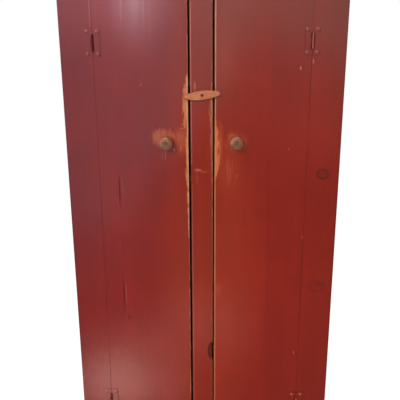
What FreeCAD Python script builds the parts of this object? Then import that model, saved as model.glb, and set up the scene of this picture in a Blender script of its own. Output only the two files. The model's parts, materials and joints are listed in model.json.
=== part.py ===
# Two-door jelly cupboard: nailed pine boards, painted, with plank doors on surface butt hinges,
# a fixed mullion between the doors, a turned knob on each door and one wooden turn button.
#
# Millimetres. +Z is up, +Y runs from the doors to the back, +X is to the right when the doors are
# faced. The origin is on the floor, at the centre of the outline seen from above.
import FreeCAD
import Part
import Sketcher

import math
import os

from FreeCAD import Placement, Rotation, Vector

SHELF_COUNT = 4
BACK_BOARD_COUNT = 5
KNUCKLE_COUNT = 3

# The driving dimensions: alias, value, meaning.
SIZES = [
    ("cupboard_width", 914, "outside, across both stiles"),
    ("cupboard_depth", 406, "face of the frame to the back"),
    ("cupboard_height", 1778, "floor to the top of the top board"),
    ("side_thick", 22, "side boards"),
    ("frame_thick", 22, "stiles, mullion and rails"),
    ("top_thick", 22, "top board"),
    ("top_overhang", 34, "top board past the face and the sides"),
    ("bottom_thick", 20, "bottom board"),
    ("shelf_thick", 20, "shelves"),
    ("back_thick", 14, "back boards"),
    ("back_joint", 1.5, "open joint between two back boards"),
    ("back_lift", 40, "bottom of the back boards over the floor"),
    ("rabbet_width", 10, "how far the back boards lap into the sides"),
    ("foot_arch_radius", 95, "half-round cut-out under each side"),
    ("stile_left_width", 105, "left stile"),
    ("stile_right_width", 110.5, "right stile"),
    ("mullion_width", 75, "fixed post between the doors"),
    ("mullion_shift", -7, "mullion's middle from the cupboard's middle"),
    ("top_rail_height", 80, "rail over the doors"),
    ("base_rail_height", 76, "rail under the doors"),
    ("sill_height", 121, "floor to the top of the base rail"),
    ("hinge_gap", 1, "joint between a stile and its door"),
    ("latch_gap_left", 5.6, "left door to the mullion"),
    ("latch_gap_right", 4.5, "mullion to the right door"),
    ("end_gap", 3, "above and below each door"),
    ("stop_lip", 8, "overlap of the door stops behind the doors"),
    ("stop_clearance", 0.5, "closed door to its stops"),
    ("stop_thick", 18, "stop strip behind the top rail"),
    ("hinge_board_left", 65, "width of the left door's hinge board"),
    ("hinge_board_right", 126.5, "width of the right door's hinge board"),
    ("batten_width", 90, "door battens, top to bottom"),
    ("batten_thick", 20, "door battens"),
    ("batten_inset", 22, "batten's ends from the door's edges"),
    ("batten_from_end", 70, "outer battens from the door's ends"),
    ("batten_clearance", 5, "battens to the shelves"),
    ("cleat_width", 20, "shelf cleats, out from the side"),
    ("cleat_height", 30, "shelf cleats"),
    ("cornice_height", 40, "cove moulding"),
    ("cornice_projection", 26, "cove moulding at its top"),
    ("cornice_foot", 6, "square foot of the moulding, each way"),
    ("cove_radius", 17, "hollow of the moulding"),
    ("hinge_height", 85, "hinge leaves"),
    ("hinge_leaf_width", 23, "from the pin to the leaf's edge"),
    ("hinge_leaf_thick", 2.2, "hinge leaves"),
    ("barrel_length", 50, "all knuckles together"),
    ("barrel_radius", 3.6, "knuckles"),
    ("barrel_slot", 3.2, "open slot beside the knuckles"),
    ("barrel_clearance", 0.3, "knuckles to the wood and to each other"),
    ("pin_radius", 1.9, "hinge pins"),
    ("pin_clearance", 0.05, "hinge pins in their knuckles, and the button on its screw"),
    ("pin_head_height", 1.2, "hinge pin's head over the barrel"),
    ("hinge_screw_from_pin", 16.5, "screws from the pin"),
    ("hinge_screw_from_end", 8.5, "screws from the leaf's ends"),
    ("hinge_screw_radius", 2, "shank"),
    ("hinge_screw_head_radius", 4.2, "round head"),
    ("hinge_screw_head_height", 1.6, "round head"),
    ("hinge_screw_length", 15, "under the head"),
    ("hinge_drop_left", 135, "upper left hinge's middle under the door's top"),
    ("hinge_drop_right", 132, "upper right hinge's middle under the door's top"),
    ("hinge_rise_left", 138, "lower left hinge's middle over the door's bottom"),
    ("hinge_rise_right", 120, "lower right hinge's middle over the door's bottom"),
    ("knob_radius", 22, "knob's head"),
    ("knob_head_depth", 20, "knob's head, front to back"),
    ("knob_projection", 34, "door's face to the front of the knob"),
    ("knob_neck_radius", 9.5, "knob's neck"),
    ("knob_base_radius", 14, "knob where it meets the door"),
    ("knob_base_depth", 10, "cone of the knob's foot"),
    ("knob_from_edge", 73, "knob's middle from the door's free edge"),
    ("knob_drop", 451, "knob's middle under the door's top"),
    ("knob_recess_radius", 5.5, "recess for the screw's head"),
    ("knob_recess_depth", 3, "recess for the screw's head"),
    ("knob_screw_radius", 2.5, "shank"),
    ("knob_screw_head_radius", 4.6, "round head"),
    ("knob_screw_head_height", 2, "round head"),
    ("knob_screw_bite", 16, "how deep the screw goes into the door"),
    ("knob_screw_clearance", 0.3, "shank to the knob's bore"),
    ("button_length", 118, "turn button, tip to tip"),
    ("button_width", 30, "turn button at its middle"),
    ("button_tip_width", 14, "turn button at its tips"),
    ("button_tip_round", 5, "how far each tip bulges"),
    ("button_thick", 12, "turn button, front to back"),
    ("button_edge", 2, "rounding of the front edge"),
    ("button_clearance", 0.6, "turn button to the face"),
    ("button_tilt", 6.1, "degrees, right tip up"),
    ("button_offset", 2, "button's screw from the mullion's middle"),
    ("button_drop", 297.5, "button's screw under the door's top"),
    ("button_screw_radius", 2.2, "shank"),
    ("button_screw_head_radius", 4.4, "countersunk head"),
    ("button_screw_bite", 19, "how deep the screw goes into the mullion"),
    ("button_screw_clearance", 0.6, "screw's head to the button's countersink"),
    ("nail_head_length", 7, "cut nails, along the grain"),
    ("nail_head_width", 3.5, "cut nails, across the grain"),
    ("nail_head_height", 1.5, "cut nails, level with the wood's face"),
    ("nail_shank", 2.4, "cut nails"),
    ("nail_point", 1.2, "cut nails at their tip"),
    ("frame_nail_length", 38, "face frame and carcass"),
    ("batten_nail_length", 34, "door battens"),
    ("cornice_nail_length", 25, "moulding"),
    ("nail_from_end", 60, "first nail from a board's end"),
    ("batten_nail_from_edge", 22, "nails from a batten's edges and a door board's edges"),
]

# Places and sizes that follow from them: alias, formula, meaning.
PLACES = [
    ("left", "-Sizes.cupboard_width / 2", "outer left face"),
    ("right", "Sizes.cupboard_width / 2", "outer right face"),
    ("face", "(max(Sizes.knob_projection; Sizes.top_overhang) - Sizes.cupboard_depth) / 2",
     "front of the frame and the doors"),
    ("frame_back", "face + Sizes.frame_thick", "back of the face frame"),
    ("back", "face + Sizes.cupboard_depth", "back of the cupboard"),
    ("back_front", "back - Sizes.back_thick", "front of the back boards"),
    ("inner_left", "left + Sizes.side_thick", "inside of the left side"),
    ("inner_right", "right - Sizes.side_thick", "inside of the right side"),
    ("under_top", "Sizes.cupboard_height - Sizes.top_thick", "underside of the top board"),
    ("opening_top", "under_top - Sizes.top_rail_height", "underside of the top rail"),
    ("door_bottom", "Sizes.sill_height + Sizes.end_gap", "lower edge of the doors"),
    ("door_top", "opening_top - Sizes.end_gap", "upper edge of the doors"),
    ("door_thick", "Sizes.frame_thick - Sizes.stop_clearance", "door boards"),
    ("door_back", "face + door_thick", "back of the door boards"),
    ("mullion_left", "Sizes.mullion_shift - Sizes.mullion_width / 2", "mullion's left edge"),
    ("mullion_right", "Sizes.mullion_shift + Sizes.mullion_width / 2", "mullion's right edge"),
    ("left_pin", "left + Sizes.stile_left_width + Sizes.hinge_gap / 2", "left hinge line"),
    ("right_pin", "right - Sizes.stile_right_width - Sizes.hinge_gap / 2", "right hinge line"),
    ("left_door_start", "left_pin + Sizes.hinge_gap / 2", "left door's hinge edge"),
    ("left_door_end", "mullion_left - Sizes.latch_gap_left", "left door's free edge"),
    ("right_door_start", "mullion_right + Sizes.latch_gap_right", "right door's free edge"),
    ("right_door_end", "right_pin - Sizes.hinge_gap / 2", "right door's hinge edge"),
    ("pin_front", "Sizes.barrel_radius + Sizes.barrel_clearance", "hinge pins from the face"),
    ("floor_top", "Sizes.sill_height + Sizes.stop_lip", "top of the bottom board"),
    ("shelf_front", "frame_back + Sizes.batten_thick + Sizes.batten_clearance",
     "front edge of the shelves"),
    ("shelf_pitch", f"(under_top - floor_top) / {SHELF_COUNT + 1}", "one shelf to the next"),
    ("back_board_width",
     "(inner_right - inner_left + 2 * Sizes.rabbet_width"
     f" - {BACK_BOARD_COUNT - 1} * Sizes.back_joint) / {BACK_BOARD_COUNT}", "each back board"),
    ("button_screw_x", "Sizes.mullion_shift + Sizes.button_offset", "button's screw"),
    ("button_screw_z", "door_top - Sizes.button_drop", "button's screw"),
    ("knob_z", "door_top - Sizes.knob_drop", "both knobs"),
    ("left_knob_x", "left_door_end - Sizes.knob_from_edge", "left knob"),
    ("right_knob_x", "right_door_start + Sizes.knob_from_edge", "right knob"),
]

doc = FreeCAD.newDocument("JellyCupboard")
pieces = []


def fill_sheet(name, rows, as_formula):
    """A spreadsheet with one aliased row per size."""
    sheet = doc.addObject("Spreadsheet::Sheet", name)
    for number, (alias, value, meaning) in enumerate(rows, start=1):
        sheet.set(f"A{number}", meaning)
        sheet.setAlias(f"B{number}", alias)
        sheet.set(f"B{number}", f"={value}" if as_formula else str(value))
    doc.recompute()
    return sheet


sizes = fill_sheet("Sizes", SIZES, as_formula=False)
places = fill_sheet("Places", PLACES, as_formula=True)


def keep(piece, label):
    """Marks an object as a finished piece, written to parts/LABEL.step."""
    piece.Label = label
    pieces.append(piece)
    return piece


def bind(piece, **formulas):
    """Binds properties to the sheets; x, y and z bind the placement."""
    for name, formula in formulas.items():
        target = f"Placement.Base.{name}" if name in ("x", "y", "z") else name
        piece.setExpression(target, formula)
    return piece


def span(kind, name, x, y, z):
    """A box between two planes each way; x, y and z are (start, end) formulas."""
    box = doc.addObject(kind, name)
    for length, start_end in (("Length", x), ("Width", y), ("Height", z)):
        box.setExpression(length, f"({start_end[1]}) - ({start_end[0]})")
    return bind(box, x=x[0], y=y[0], z=z[0])


def board(label, x, y, z):
    """A plain rectangular board."""
    return keep(span("Part::Box", label, x, y, z), label)


def cylinder(name, radius, height, turn=None, **place):
    """A cylinder along Z, or turned by the given rotation."""
    made = doc.addObject("Part::Cylinder", name)
    if turn:
        made.Placement = Placement(Vector(), turn)
    return bind(made, Radius=radius, Height=height, **place)


def cut(name, base, tool):
    """base less tool."""
    made = doc.addObject("Part::Cut", name)
    made.Base = base
    made.Tool = tool
    return made


def fuse(name, shapes):
    """Several shapes made one."""
    made = doc.addObject("Part::MultiFuse", name)
    made.Shapes = shapes
    made.Refine = True
    return made


def value(formula):
    """The number that a formula on the sheets gives now."""
    found = places.evalExpression(formula)
    return getattr(found, "Value", found)


def draw_loop(sketch, corners, sagittas=None):
    """A closed outline through corners given as formula pairs, held to them by constraints.

    sagittas maps the number of a side to the formula for how far it bulges to its right.
    """
    sagittas = sagittas or {}
    points = [Vector(value(x), value(y), 0) for x, y in corners]
    sides = []
    for number, start in enumerate(points):
        end = points[(number + 1) % len(points)]
        if number in sagittas:
            chord = end - start
            right = Vector(chord.y, -chord.x, 0).normalize()
            middle = (start + end) / 2 + right * value(sagittas[number])
            edge = Part.Arc(start, middle, end)
        else:
            edge = Part.LineSegment(start, end)
        sides.append(sketch.addGeometry(edge))
    ends = []
    for number, side in enumerate(sides):
        is_arc = number in sagittas
        # An arc of a sketch always runs anticlockwise, so its first end is the loop's start
        # only where it bulges to the right.
        flipped = is_arc and value(sagittas[number]) < 0
        ends.append((side, 2 if flipped else 1, 1 if flipped else 2))
    for number, (side, _, last) in enumerate(ends):
        following, first, _ = ends[(number + 1) % len(ends)]
        add_constraint(sketch, "Coincident", side, last, following, first)
    for (side, first, _), (x, y) in zip(ends, corners):
        hold(sketch, "DistanceX", side, first, x)
        hold(sketch, "DistanceY", side, first, y)
    for number, sagitta in sagittas.items():
        x0, y0 = corners[number]
        x1, y1 = corners[(number + 1) % len(corners)]
        quarter_chord_squared = f"((({x1}) - ({x0}))^2 + (({y1}) - ({y0}))^2) / 4"
        radius = f"({quarter_chord_squared} + ({sagitta})^2) / (2 * abs({sagitta}))"
        at = add_constraint(sketch, "Radius", sides[number], value(radius))
        sketch.setExpression(f"Constraints[{at}]", radius)


def add_constraint(sketch, *words):
    """Adds one constraint and returns its number."""
    return sketch.addConstraint(Sketcher.Constraint(*words))


def hold(sketch, direction, side, point, formula):
    """Holds one end of a side at a distance from the sketch's origin."""
    at = add_constraint(sketch, direction, -1, 1, side, point, value(formula))
    sketch.setExpression(f"Constraints[{at}]", formula)


def plane_of(body, role):
    """One of a body's own origin planes."""
    return next(f for f in body.Origin.OriginFeatures if f.Role == role)


# ---------------------------------------------------------------- carcass

def side_board(hand):
    """A side with a rabbet for the back boards and a half-round cut-out that leaves two feet."""
    outer, inner = f"Places.{hand}", f"Places.inner_{hand}"
    low, high = (outer, inner) if hand == "left" else (inner, outer)
    whole = span("Part::Box", f"side_{hand}_board", (low, high),
                 ("Places.frame_back", "Places.back"), ("0", "Places.under_top"))
    rabbet_edge = f"{inner} {'-' if hand == 'left' else '+'} Sizes.rabbet_width"
    edges = (rabbet_edge, inner) if hand == "left" else (inner, rabbet_edge)
    rabbet = span("Part::Box", f"side_{hand}_rabbet", edges,
                  ("Places.back_front", "Places.back"), ("Sizes.back_lift", "Places.under_top"))
    arch = cylinder(f"side_{hand}_arch", "Sizes.foot_arch_radius", "Sizes.side_thick",
                    turn=Rotation(Vector(0, 1, 0), 90),
                    x=low, y="(Places.frame_back + Places.back) / 2")
    rabbeted = cut(f"side_{hand}_rabbeted", whole, rabbet)
    keep(cut(f"side_{hand}", rabbeted, arch), f"side_{hand}")


def face_frame():
    """Two stiles that run down to the floor as feet, two rails and the mullion between them."""
    depth = ("Places.face", "Places.frame_back")
    left_stile_end = "Places.left + Sizes.stile_left_width"
    right_stile_start = "Places.right - Sizes.stile_right_width"
    board("stile_left", ("Places.left", left_stile_end), depth, ("0", "Places.under_top"))
    board("stile_right", (right_stile_start, "Places.right"), depth, ("0", "Places.under_top"))
    board("top_rail", (left_stile_end, right_stile_start), depth,
          ("Places.opening_top", "Places.under_top"))
    board("base_rail", (left_stile_end, right_stile_start), depth,
          ("Sizes.sill_height - Sizes.base_rail_height", "Sizes.sill_height"))
    board("mullion", ("Places.mullion_left", "Places.mullion_right"), depth,
          ("Sizes.sill_height", "Places.opening_top"))


def shelf_underside(level):
    """The underside of a shelf as a formula; level 0 is the bottom board."""
    if level == 0:
        return "(Places.floor_top - Sizes.bottom_thick)"
    return f"(Places.floor_top + {level} * Places.shelf_pitch - Sizes.shelf_thick)"


def front_of_level(level):
    """The front edge of a shelf as a formula; level 0 is the bottom board."""
    return "Places.frame_back" if level == 0 else "Places.shelf_front"


def cross_boards():
    """Top, bottom, shelves on their cleats, and the stop strip behind the top rail."""
    inside = ("Places.inner_left", "Places.inner_right")
    board("top_board", ("Places.left - Sizes.top_overhang", "Places.right + Sizes.top_overhang"),
          ("Places.face - Sizes.top_overhang", "Places.back"),
          ("Places.under_top", "Sizes.cupboard_height"))
    board("bottom_board", inside, (front_of_level(0), "Places.back_front"),
          (shelf_underside(0), "Places.floor_top"))
    board("door_stop_top", inside, ("Places.frame_back", "Places.frame_back + Sizes.stop_thick"),
          ("Places.opening_top - Sizes.stop_lip", "Places.under_top"))
    for number in range(1, SHELF_COUNT + 1):
        board(f"shelf_{number}", inside, ("Places.shelf_front", "Places.back_front"),
              (shelf_underside(number), f"{shelf_underside(number)} + Sizes.shelf_thick"))
    for hand in ("left", "right"):
        inner = f"Places.inner_{hand}"
        x = ((inner, f"{inner} + Sizes.cleat_width") if hand == "left"
             else (f"{inner} - Sizes.cleat_width", inner))
        cleats = [span("Part::Box", f"cleat_{hand}_{number}", x,
                       (front_of_level(number), "Places.back_front"),
                       (f"{shelf_underside(number)} - Sizes.cleat_height",
                        shelf_underside(number)))
                  for number in range(SHELF_COUNT + 1)]
        group = doc.addObject("Part::Compound", f"shelf_cleats_{hand}")
        group.Links = cleats
        keep(group, f"shelf_cleats_{hand}")


def back_boards():
    """Vertical boards side by side in the sides' rabbets."""
    for number in range(BACK_BOARD_COUNT):
        start = ("Places.inner_left - Sizes.rabbet_width"
                 f" + {number} * (Places.back_board_width + Sizes.back_joint)")
        board(f"back_board_{number + 1}", (start, f"{start} + Places.back_board_width"),
              ("Places.back_front", "Places.back"), ("Sizes.back_lift", "Places.under_top"))


def moulding_stock(name, length, turn, **place):
    """A straight length of the cove moulding, its back face through its own origin."""
    sketch = doc.addObject("Sketcher::SketchObject", f"{name}_profile")
    foot, out = "Sizes.cornice_foot", "Sizes.cornice_projection"
    hollow_top = f"{foot} + Sizes.cove_radius"
    corners = [("0", "0"), (foot, "0"), (foot, foot),
               (hollow_top, hollow_top), (out, hollow_top),
               (out, "Sizes.cornice_height"), ("0", "Sizes.cornice_height")]
    quarter_circle_sagitta = f"-Sizes.cove_radius * {1 - math.sqrt(0.5):.9f}"
    draw_loop(sketch, corners, {2: quarter_circle_sagitta})
    sketch.Placement = Placement(Vector(), turn)
    stock = doc.addObject("Part::Extrusion", f"{name}_stock")
    stock.Base = sketch
    stock.DirMode = "Normal"
    stock.Solid = True
    return bind(stock, LengthFwd=length, **place)


def mitre_tool(name, corner_x, quarter_turns):
    """A block whose faces stand at 45 degrees through a front corner of the cupboard."""
    tool = doc.addObject("Part::Box", name)
    tool.Placement = Placement(Vector(), Rotation(Vector(0, 0, 1), 45 + 90 * quarter_turns))
    reach = "4 * Sizes.cornice_projection"
    bind(tool, Length=reach, Width=reach, Height="2 * Sizes.cornice_height",
         x=corner_x, y="Places.face", z="Places.under_top - 1.5 * Sizes.cornice_height")
    return tool


def cornice():
    """Cove moulding under the top board, mitred at the two front corners."""
    out = "Sizes.cornice_projection"
    bottom = "Places.under_top - Sizes.cornice_height"
    upright = Rotation(Vector(1, 0, 0), 90)
    facing = {"front": Rotation(Vector(0, 0, 1), -90), "left": Rotation(Vector(0, 0, 1), 180),
              "right": Rotation()}
    front = moulding_stock("cornice_front", f"Sizes.cupboard_width + 2 * {out}",
                           facing["front"].multiply(upright),
                           x=f"Places.right + {out}", y="Places.face", z=bottom)
    trimmed = cut("cornice_front_trimmed", front, mitre_tool("front_mitre_left", "Places.left", 1))
    keep(cut("cornice_front", trimmed, mitre_tool("front_mitre_right", "Places.right", -1)),
         "cornice_front")
    side_length = f"Sizes.cupboard_depth + {out}"
    left = moulding_stock("cornice_left", side_length, facing["left"].multiply(upright),
                          x="Places.left", y=f"Places.face - {out}", z=bottom)
    keep(cut("cornice_left", left, mitre_tool("left_mitre", "Places.left", -2)), "cornice_left")
    right = moulding_stock("cornice_right", side_length, facing["right"].multiply(upright),
                           x="Places.right", y="Places.back", z=bottom)
    keep(cut("cornice_right", right, mitre_tool("right_mitre", "Places.right", -2)),
         "cornice_right")


for side_name in ("left", "right"):
    side_board(side_name)
face_frame()
cross_boards()
back_boards()
cornice()


# ---------------------------------------------------------------- doors

def door(hand):
    """Two boards edge to edge, held by three battens nailed on from inside."""
    start, end = f"Places.{hand}_door_start", f"Places.{hand}_door_end"
    height = ("Places.door_bottom", "Places.door_top")
    depth = ("Places.face", "Places.door_back")
    hinge_board = f"Sizes.hinge_board_{hand}"
    if hand == "left":
        split = f"{start} + {hinge_board}"
        hinge_span, latch_span = (start, split), (split, end)
    else:
        split = f"{end} - {hinge_board}"
        hinge_span, latch_span = (split, end), (start, split)
    board(f"door_{hand}_hinge_board", hinge_span, depth, height)
    board(f"door_{hand}_latch_board", latch_span, depth, height)
    middle = "(Places.door_bottom + Places.door_top - Sizes.batten_width) / 2"
    lowest = {"bottom": "Places.door_bottom + Sizes.batten_from_end", "middle": middle,
              "top": "Places.door_top - Sizes.batten_from_end - Sizes.batten_width"}
    for name, bottom in lowest.items():
        board(f"door_{hand}_batten_{name}",
              (f"{start} + Sizes.batten_inset", f"{end} - Sizes.batten_inset"),
              ("Places.door_back", "Places.door_back + Sizes.batten_thick"),
              (bottom, f"{bottom} + Sizes.batten_width"))


def knob(hand):
    """A turned knob: conical foot, neck, flattened ball, and a recess for its screw."""
    name = f"knob_{hand}"
    away = Rotation(Vector(1, 0, 0), 90)
    place = {"x": f"Places.{hand}_knob_x", "y": "Places.face", "z": "Places.knob_z"}
    foot = doc.addObject("Part::Cone", f"{name}_foot")
    foot.Placement = Placement(Vector(), away)
    bind(foot, Radius1="Sizes.knob_base_radius", Radius2="Sizes.knob_neck_radius",
         Height="Sizes.knob_base_depth", **place)
    head_middle = "Sizes.knob_projection - Sizes.knob_head_depth / 2"
    neck = cylinder(f"{name}_neck", "Sizes.knob_neck_radius", head_middle, turn=away, **place)
    head = doc.addObject("Part::Ellipsoid", f"{name}_head")
    head.Placement = Placement(Vector(), away)
    bind(head, Radius1="Sizes.knob_head_depth / 2", Radius2="Sizes.knob_radius",
         x=place["x"], y=f"Places.face - ({head_middle})", z=place["z"])
    turned = fuse(f"{name}_turned", [foot, neck, head])
    bore = cylinder(f"{name}_bore", "Sizes.knob_screw_radius + Sizes.knob_screw_clearance",
                    "Sizes.knob_projection", turn=away, **place)
    recess = cylinder(f"{name}_recess", "Sizes.knob_recess_radius", "Sizes.knob_recess_depth",
                      turn=away, x=place["x"], z=place["z"],
                      y="Places.face - Sizes.knob_projection + Sizes.knob_recess_depth")
    keep(cut(name, cut(f"{name}_bored", turned, bore), recess), name)


def turn_button():
    """A wooden bar, widest at its screw, that turns in front of both doors."""
    body = doc.addObject("PartDesign::Body", "turn_button")
    sketch = body.newObject("Sketcher::SketchObject", "button_outline")
    sketch.AttachmentSupport = (plane_of(body, "XZ_Plane"), [""])
    sketch.MapMode = "FlatFace"
    half_tip = "Sizes.button_tip_width / 2"
    shoulder = "(Sizes.button_length / 2 - Sizes.button_tip_round)"
    swell = "(Sizes.button_width - Sizes.button_tip_width) / 2"
    tip = "Sizes.button_tip_round"
    corners = [(f"-{shoulder}", f"-{half_tip}"), (shoulder, f"-{half_tip}"),
               (shoulder, half_tip), (f"-{shoulder}", half_tip)]
    draw_loop(sketch, corners, {0: swell, 1: tip, 2: swell, 3: tip})
    doc.recompute()
    pad = body.newObject("PartDesign::Pad", "button_pad")
    pad.Profile = sketch
    bind(pad, Length="Sizes.button_thick")
    doc.recompute()
    bore_sketch = body.newObject("Sketcher::SketchObject", "button_bore_outline")
    bore_sketch.AttachmentSupport = (plane_of(body, "XZ_Plane"), [""])
    bore_sketch.MapMode = "FlatFace"
    bore_radius = "Sizes.button_screw_radius + Sizes.pin_clearance"
    circle = bore_sketch.addGeometry(Part.Circle(Vector(), Vector(0, 0, 1), value(bore_radius)))
    add_constraint(bore_sketch, "Coincident", circle, 3, -1, 1)
    at = add_constraint(bore_sketch, "Radius", circle, value(bore_radius))
    bore_sketch.setExpression(f"Constraints[{at}]", bore_radius)
    doc.recompute()
    bore = body.newObject("PartDesign::Pocket", "button_bore")
    bore.Profile = bore_sketch
    bore.Type = "ThroughAll"
    bore.Midplane = True
    doc.recompute()
    front = min((v.Point.y for v in bore.Shape.Vertexes))
    rim = [f"Edge{n}" for n, edge in enumerate(bore.Shape.Edges, start=1)
           if all(abs(v.Point.y - front) < 1e-6 for v in edge.Vertexes)]
    at_bore = [name for name in rim
               if bore.Shape.getElement(name).BoundBox.DiagonalLength < value("Sizes.button_width")
               and abs(bore.Shape.getElement(name).BoundBox.Center.x) < 1e-6]
    countersink = body.newObject("PartDesign::Chamfer", "button_countersink")
    countersink.Base = (bore, at_bore)
    bind(countersink, Size="Sizes.button_screw_head_radius - Sizes.button_screw_radius")
    doc.recompute()
    front_rim = [f"Edge{n}" for n, edge in enumerate(countersink.Shape.Edges, start=1)
                 if all(abs(v.Point.y - front) < 1e-6 for v in edge.Vertexes)
                 and edge.BoundBox.DiagonalLength > 2 * value("Sizes.button_screw_head_radius")
                 * math.sqrt(2)]
    rounding = body.newObject("PartDesign::Fillet", "button_rounding")
    rounding.Base = (countersink, front_rim)
    bind(rounding, Radius="Sizes.button_edge")
    doc.recompute()
    body.Tip = rounding
    tilt = Rotation(Vector(0, -1, 0), value("Sizes.button_tilt"))
    body.Placement = Placement(Vector(), tilt)
    bind(body, x="Places.button_screw_x", y="Places.face - Sizes.button_clearance",
         z="Places.button_screw_z")
    keep(body, "turn_button")


for side_name in ("left", "right"):
    door(side_name)
    knob(side_name)
turn_button()


# ---------------------------------------------------------------- hinges

def hinge_leaf(label, is_on_stile, hand, height):
    """One leaf: a plate on the wood's face, cut back beside the barrel, with its own knuckles.

    It is drawn about the pin with its plate towards +X, then turned half round about Y where the
    plate lies towards -X; the knuckles are the same either way up.
    """
    own = range(0, KNUCKLE_COUNT, 2) if is_on_stile else range(1, KNUCKLE_COUNT, 2)
    plate_y = ("Places.pin_front - Sizes.hinge_leaf_thick", "Places.pin_front")
    half = "Sizes.hinge_height / 2"
    plate = span("Part::Box", f"{label}_plate", ("Sizes.hinge_gap / 2", "Sizes.hinge_leaf_width"),
                 plate_y, (f"-{half}", half))
    slot_edge = "Sizes.barrel_radius + Sizes.barrel_slot"
    slot_half = "Sizes.barrel_length / 2 + Sizes.pin_head_height + Sizes.barrel_clearance"
    slot = span("Part::Box", f"{label}_slot", ("0", slot_edge),
                ("0", "2 * Places.pin_front"), (f"-({slot_half})", slot_half))
    solids = [cut(f"{label}_slotted", plate, slot)]
    pitch = f"Sizes.barrel_length / {KNUCKLE_COUNT}"
    for number in own:
        bottom = f"{number} * {pitch} - Sizes.barrel_length / 2 + Sizes.barrel_clearance / 2"
        length = f"{pitch} - Sizes.barrel_clearance"
        solids.append(cylinder(f"{label}_knuckle_{number}", "Sizes.barrel_radius", length,
                               z=bottom))
        solids.append(span("Part::Box", f"{label}_web_{number}", ("0", f"{slot_edge} + 1"),
                           plate_y, (bottom, f"{bottom} + {length}")))
    whole = fuse(f"{label}_whole", solids)
    bore = cylinder(f"{label}_bore", "Sizes.pin_radius + Sizes.pin_clearance",
                    "Sizes.hinge_height", z=f"-{half}")
    holes = [bore]
    for end in (1, -1):
        holes.append(cylinder(
            f"{label}_screw_hole_{'upper' if end > 0 else 'lower'}",
            "Sizes.hinge_screw_radius + Sizes.barrel_clearance",
            "2 * Sizes.hinge_leaf_thick", turn=Rotation(Vector(1, 0, 0), 90),
            x="Sizes.hinge_screw_from_pin", y="Places.pin_front + Sizes.hinge_leaf_thick / 2",
            z=f"{end} * ({half} - Sizes.hinge_screw_from_end)"))
    leaf = cut(label, whole, fuse(f"{label}_holes", holes))
    points_left = is_on_stile == (hand == "left")
    if points_left:
        leaf.Placement = Placement(Vector(), Rotation(Vector(0, 1, 0), 180))
    bind(leaf, x=f"Places.{hand}_pin", y="Places.face - Places.pin_front", z=height)
    keep(leaf, label)


def hinge_pin(label, hand, height):
    """The pin with its head on top of the barrel."""
    middle = {"x": f"Places.{hand}_pin", "y": "Places.face - Places.pin_front"}
    shank = cylinder(f"{label}_shank", "Sizes.pin_radius", "Sizes.barrel_length",
                     z=f"{height} - Sizes.barrel_length / 2", **middle)
    head = cylinder(f"{label}_head", "Sizes.barrel_radius", "Sizes.pin_head_height",
                    z=f"{height} + Sizes.barrel_length / 2", **middle)
    keep(fuse(label, [shank, head]), label)


HINGES = {
    ("left", "upper"): "Places.door_top - Sizes.hinge_drop_left",
    ("left", "lower"): "Places.door_bottom + Sizes.hinge_rise_left",
    ("right", "upper"): "Places.door_top - Sizes.hinge_drop_right",
    ("right", "lower"): "Places.door_bottom + Sizes.hinge_rise_right",
}
for (hand, level), hinge_z in HINGES.items():
    hinge_leaf(f"hinge_{hand}_{level}_stile_leaf", True, hand, hinge_z)
    hinge_leaf(f"hinge_{hand}_{level}_door_leaf", False, hand, hinge_z)
    hinge_pin(f"hinge_{hand}_{level}_pin", hand, hinge_z)


# ---------------------------------------------------------------- fasteners

DRIVEN_ALONG_Y = Rotation(Vector(1, 0, 0), -90)


def screw(name, head, shank_radius, length):
    """A screw driven along +Y, its head's seat in the plane y = 0, with a pointed end."""
    shank_length = f"{length} - {shank_radius}"
    shank = cylinder(f"{name}_shank", shank_radius, shank_length, turn=DRIVEN_ALONG_Y)
    point = doc.addObject("Part::Cone", f"{name}_point")
    point.Placement = Placement(Vector(), DRIVEN_ALONG_Y)
    bind(point, Radius1=shank_radius, Radius2="0", Height=shank_radius, y=shank_length)
    return fuse(name, [head, shank, point])


def round_head_screw(kind, length):
    """A screw with a domed head; kind names its sizes."""
    head = doc.addObject("Part::Ellipsoid", f"{kind}_dome")
    head.Angle1 = 0
    head.Placement = Placement(Vector(), Rotation(Vector(1, 0, 0), 90))
    bind(head, Radius1=f"Sizes.{kind}_head_height", Radius2=f"Sizes.{kind}_head_radius")
    return screw(kind, head, f"Sizes.{kind}_radius", length)


def countersunk_screw(kind, length):
    """A screw with a conical head whose flat is in the plane y = 0."""
    head = doc.addObject("Part::Cone", f"{kind}_cone")
    head.Placement = Placement(Vector(), DRIVEN_ALONG_Y)
    bind(head, Radius1=f"Sizes.{kind}_head_radius", Radius2=f"Sizes.{kind}_radius",
         Height=f"Sizes.{kind}_head_radius - Sizes.{kind}_radius")
    return screw(kind, head, f"Sizes.{kind}_radius", length)


def cut_nail(name, length):
    """A cut nail driven along +Y: an oblong head level with y = 0 and a shank tapered one way."""
    head = span("Part::Box", f"{name}_head",
                ("-Sizes.nail_head_width / 2", "Sizes.nail_head_width / 2"),
                ("0", "Sizes.nail_head_height"),
                ("-Sizes.nail_head_length / 2", "Sizes.nail_head_length / 2"))
    shank = doc.addObject("Part::Wedge", f"{name}_shank")
    bind(shank, Xmin="-Sizes.nail_shank / 2", Xmax="Sizes.nail_shank / 2",
         Zmin="-Sizes.nail_shank / 2", Zmax="Sizes.nail_shank / 2",
         X2min="-Sizes.nail_shank / 2", X2max="Sizes.nail_shank / 2",
         Z2min="-Sizes.nail_point / 2", Z2max="Sizes.nail_point / 2", Ymin="0", Ymax=length)
    return fuse(name, [head, shank])


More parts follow.
